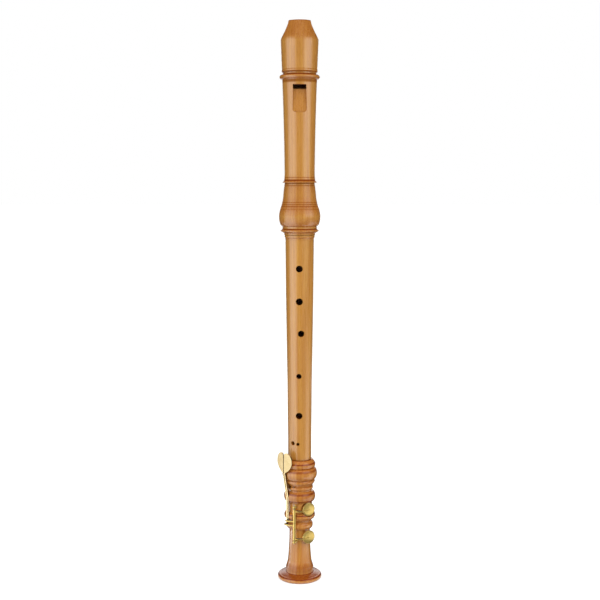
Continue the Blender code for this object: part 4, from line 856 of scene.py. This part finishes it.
print("finishing the pieces that keep their packed shape")
keptFinishes = {"key_rod": steel, "lever_pin": steel, "windway_block": blockWood, "lower_tenon_cork": cork,
                "upper_tenon_cork": cork, "c_sharp_pad": padSkin, "c_pad": padSkin, "c_sharp_spring": springSteel,
                "c_spring": springSteel, "c_sharp_lever_felt": felt, "c_lever_felt": felt,
                "c_sharp_touch_cork": cork, "c_touch_cork": cork}
for nodeName, finish in keptFinishes.items():
    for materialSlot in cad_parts[nodeName].material_slots:
        materialSlot.material = finish

print("setting the studio")
coolWhite = (0.84, 0.95, 1.0)
studio = {"white": 1.0, "around": 0.32, "floor": 0.60, "floorSize": 30.0, "floorGlow": 0.58, "leverGlow": 5.5,
          "cardGrey": 0.05, "cardSteps": 24, "topLight": 2.4, "topAngle": 70.0, "topTilt": 34.0}


def seenOrMirrored(tree):
    # 1 for what the camera, a glossy surface or a clear one shows, 0 for light that spreads
    path = addNode(tree, "LightPath")
    seen = addNode(tree, "Math", {"operation": "MAXIMUM"}, {0: path.outputs["Is Camera Ray"],
                                                            1: path.outputs["Is Transmission Ray"]})
    seen = addNode(tree, "Math", {"operation": "MAXIMUM"}, {0: seen.outputs[0], 1: path.outputs["Is Glossy Ray"]})
    return seen.outputs[0]


floorMesh = bpy.data.meshes.new("studioFloor")
side = studio["floorSize"]
floorMesh.from_pydata([(-side, -side, 0), (side, -side, 0), (side, side, 0), (-side, side, 0)], [], [(0, 1, 2, 3)])
floorFinish, floorTree, floorSurface = newFinish("paleFloor")
floorSurface.inputs["Base Color"].default_value = (*grey(studio["floor"]), 1)
floorSurface.inputs["Roughness"].default_value = 0.9
floorSurface.inputs["Specular IOR Level"].default_value = 0.0
glow = addNode(floorTree, "Math", {"operation": "MULTIPLY"}, {0: seenOrMirrored(floorTree), 1: studio["floorGlow"]})
floorTree.links.new(glow.outputs[0], floorSurface.inputs["Emission Strength"])
floorSurface.inputs["Emission Color"].default_value = (1, 1, 1, 1)
floorMesh.materials.append(floorFinish)
floor = bpy.data.objects.new("studioFloor", floorMesh)
bpy.context.scene.collection.objects.link(floor)

world = bpy.data.worlds.new("studioWorld")
bpy.context.scene.world = world
world.use_nodes = True
worldTree = world.node_tree
strength = addNode(worldTree, "MapRange", values={"Value": seenOrMirrored(worldTree), "To Min": studio["around"],
                                                  "To Max": studio["white"]})
worldTree.nodes["Background"].inputs["Color"].default_value = (1, 1, 1, 1)
worldTree.links.new(strength.outputs["Result"], worldTree.nodes["Background"].inputs["Strength"])


def softBox(name, azimuth, distance, height, size, power, aimHeight, tint=(1.0, 1.0, 1.0), glossy=True):
    lamp = bpy.data.lights.new(name, "AREA")
    lamp.shape = "RECTANGLE"
    lamp.size, lamp.size_y = size
    lamp.energy = power
    lamp.color = tint
    item = bpy.data.objects.new(name, lamp)
    bpy.context.scene.collection.objects.link(item)
    item.location = outwards(azimuth) * distance + Vector((0, 0, height))
    item.rotation_euler = (Vector((0, 0, aimHeight)) - item.location).to_track_quat("-Z", "Y").to_euler()
    item.visible_camera = False
    item.visible_glossy = glossy


# azimuth, distance, height, size, power and the height that it aims at
softBox("leftBox", -57.0, 0.52, 0.43, (0.56, 0.88), 1.34, 0.43, coolWhite)
softBox("rightBox", 54.0, 0.52, 0.64, (0.44, 0.46), 0.58, 0.64, coolWhite)
softBox("fillBox", 54.0, 0.52, 0.21, (0.44, 0.40), 0.70, 0.21, glossy=False)

topLamp = bpy.data.lights.new("topLight", "SUN")
topLamp.energy = studio["topLight"]
topLamp.angle = math.radians(studio["topAngle"])
topLight = bpy.data.objects.new("topLight", topLamp)
bpy.context.scene.collection.objects.link(topLight)
topLight.rotation_euler = (math.radians(studio["topTilt"]), 0.0, 0.0)
topLight.visible_glossy = False
softBox("backBox", 180.0, 1.4, 0.9, (1.2, 1.2), 3.3, 0.3)


def studioCard(name, start, end, lower, upper, light=0.0):
    # a curved card that shows in glossy surfaces alone, as black cloth or a white card beside a product does
    steps = studio["cardSteps"]
    corners, faces = [], []
    for step in range(steps + 1):
        turn = start + (end - start) * step / steps
        corners += [spot(turn, *lower), spot(turn, *upper)]
    for step in range(steps):
        faces.append((2 * step, 2 * step + 2, 2 * step + 3, 2 * step + 1))
    mesh = bpy.data.meshes.new(name)
    mesh.from_pydata(corners, [], faces)
    card, _, cardSurface = newFinish(name)
    cardSurface.inputs["Base Color"].default_value = (*grey(studio["cardGrey"]), 1)
    cardSurface.inputs["Specular IOR Level"].default_value = 0.0
    if light > 0.0:
        cardSurface.inputs["Emission Color"].default_value = (1.0, 1.0, 1.0, 1)
        cardSurface.inputs["Emission Strength"].default_value = light
    mesh.materials.append(card)
    item = bpy.data.objects.new(name, mesh)
    bpy.context.scene.collection.objects.link(item)
    item.visible_camera = item.visible_diffuse = item.visible_shadow = item.visible_transmission = False


# azimuths of both ends, then radius and height of the lower and of the upper edge
for cardName, cardStart, cardEnd, cardLow, cardHigh in (
        ("leftCard", -90.0, -160.0, (1.1, 0.02), (1.1, 1.3)), ("rightCard", 82.0, 160.0, (1.1, 0.04), (1.1, 1.3)),
        ("cameraCard", -24.0, 24.0, (1.5, 0.02), (1.5, 1.9)), ("ceilingCard", 0.0, 360.0, (0.01, 1.75), (1.6, 1.75)),
        ("upperCard", -110.0, 110.0, (0.9, 0.92), (1.3, 1.76)), ("skirtCard", 26.0, 82.0, (1.1, 0.04), (1.1, 0.45)),
        ("nearFloorCard", -24.0, 62.0, (0.04, 0.001), (0.135, 0.001)),
        ("sideFloorCard", 62.0, 100.0, (0.04, 0.001), (0.115, 0.001)),
        ("midFloorCard", -24.0, 24.0, (0.135, 0.001), (0.3, 0.001)),
        ("farFloorCard", -24.0, 60.0, (0.3, 0.001), (1.5, 0.001)),
        ("backFloorCard", 104.0, 240.0, (0.04, 0.001), (1.1, 0.001))):
    studioCard(cardName, cardStart, cardEnd, cardLow, cardHigh)
studioCard("leverGlow", -97.0, -120.0, (0.16, 0.001), (0.33, 0.001), studio["leverGlow"])

photoView = {"lens": 63.0, "sensor": 36.0, "nearest": 0.01, "place": (0.0004, -1.2146, 0.4606), "tilt": 84.0}
cameraData = bpy.data.cameras.new("photoCamera")
cameraData.lens = photoView["lens"]
cameraData.sensor_width = photoView["sensor"]
cameraData.clip_start = photoView["nearest"]
camera = bpy.data.objects.new("photoCamera", cameraData)
bpy.context.scene.collection.objects.link(camera)
camera.location = photoView["place"]
camera.rotation_euler = (math.radians(photoView["tilt"]), 0.0, 0.0)
bpy.context.scene.camera = camera
bpy.context.scene.view_settings.view_transform = "Standard"
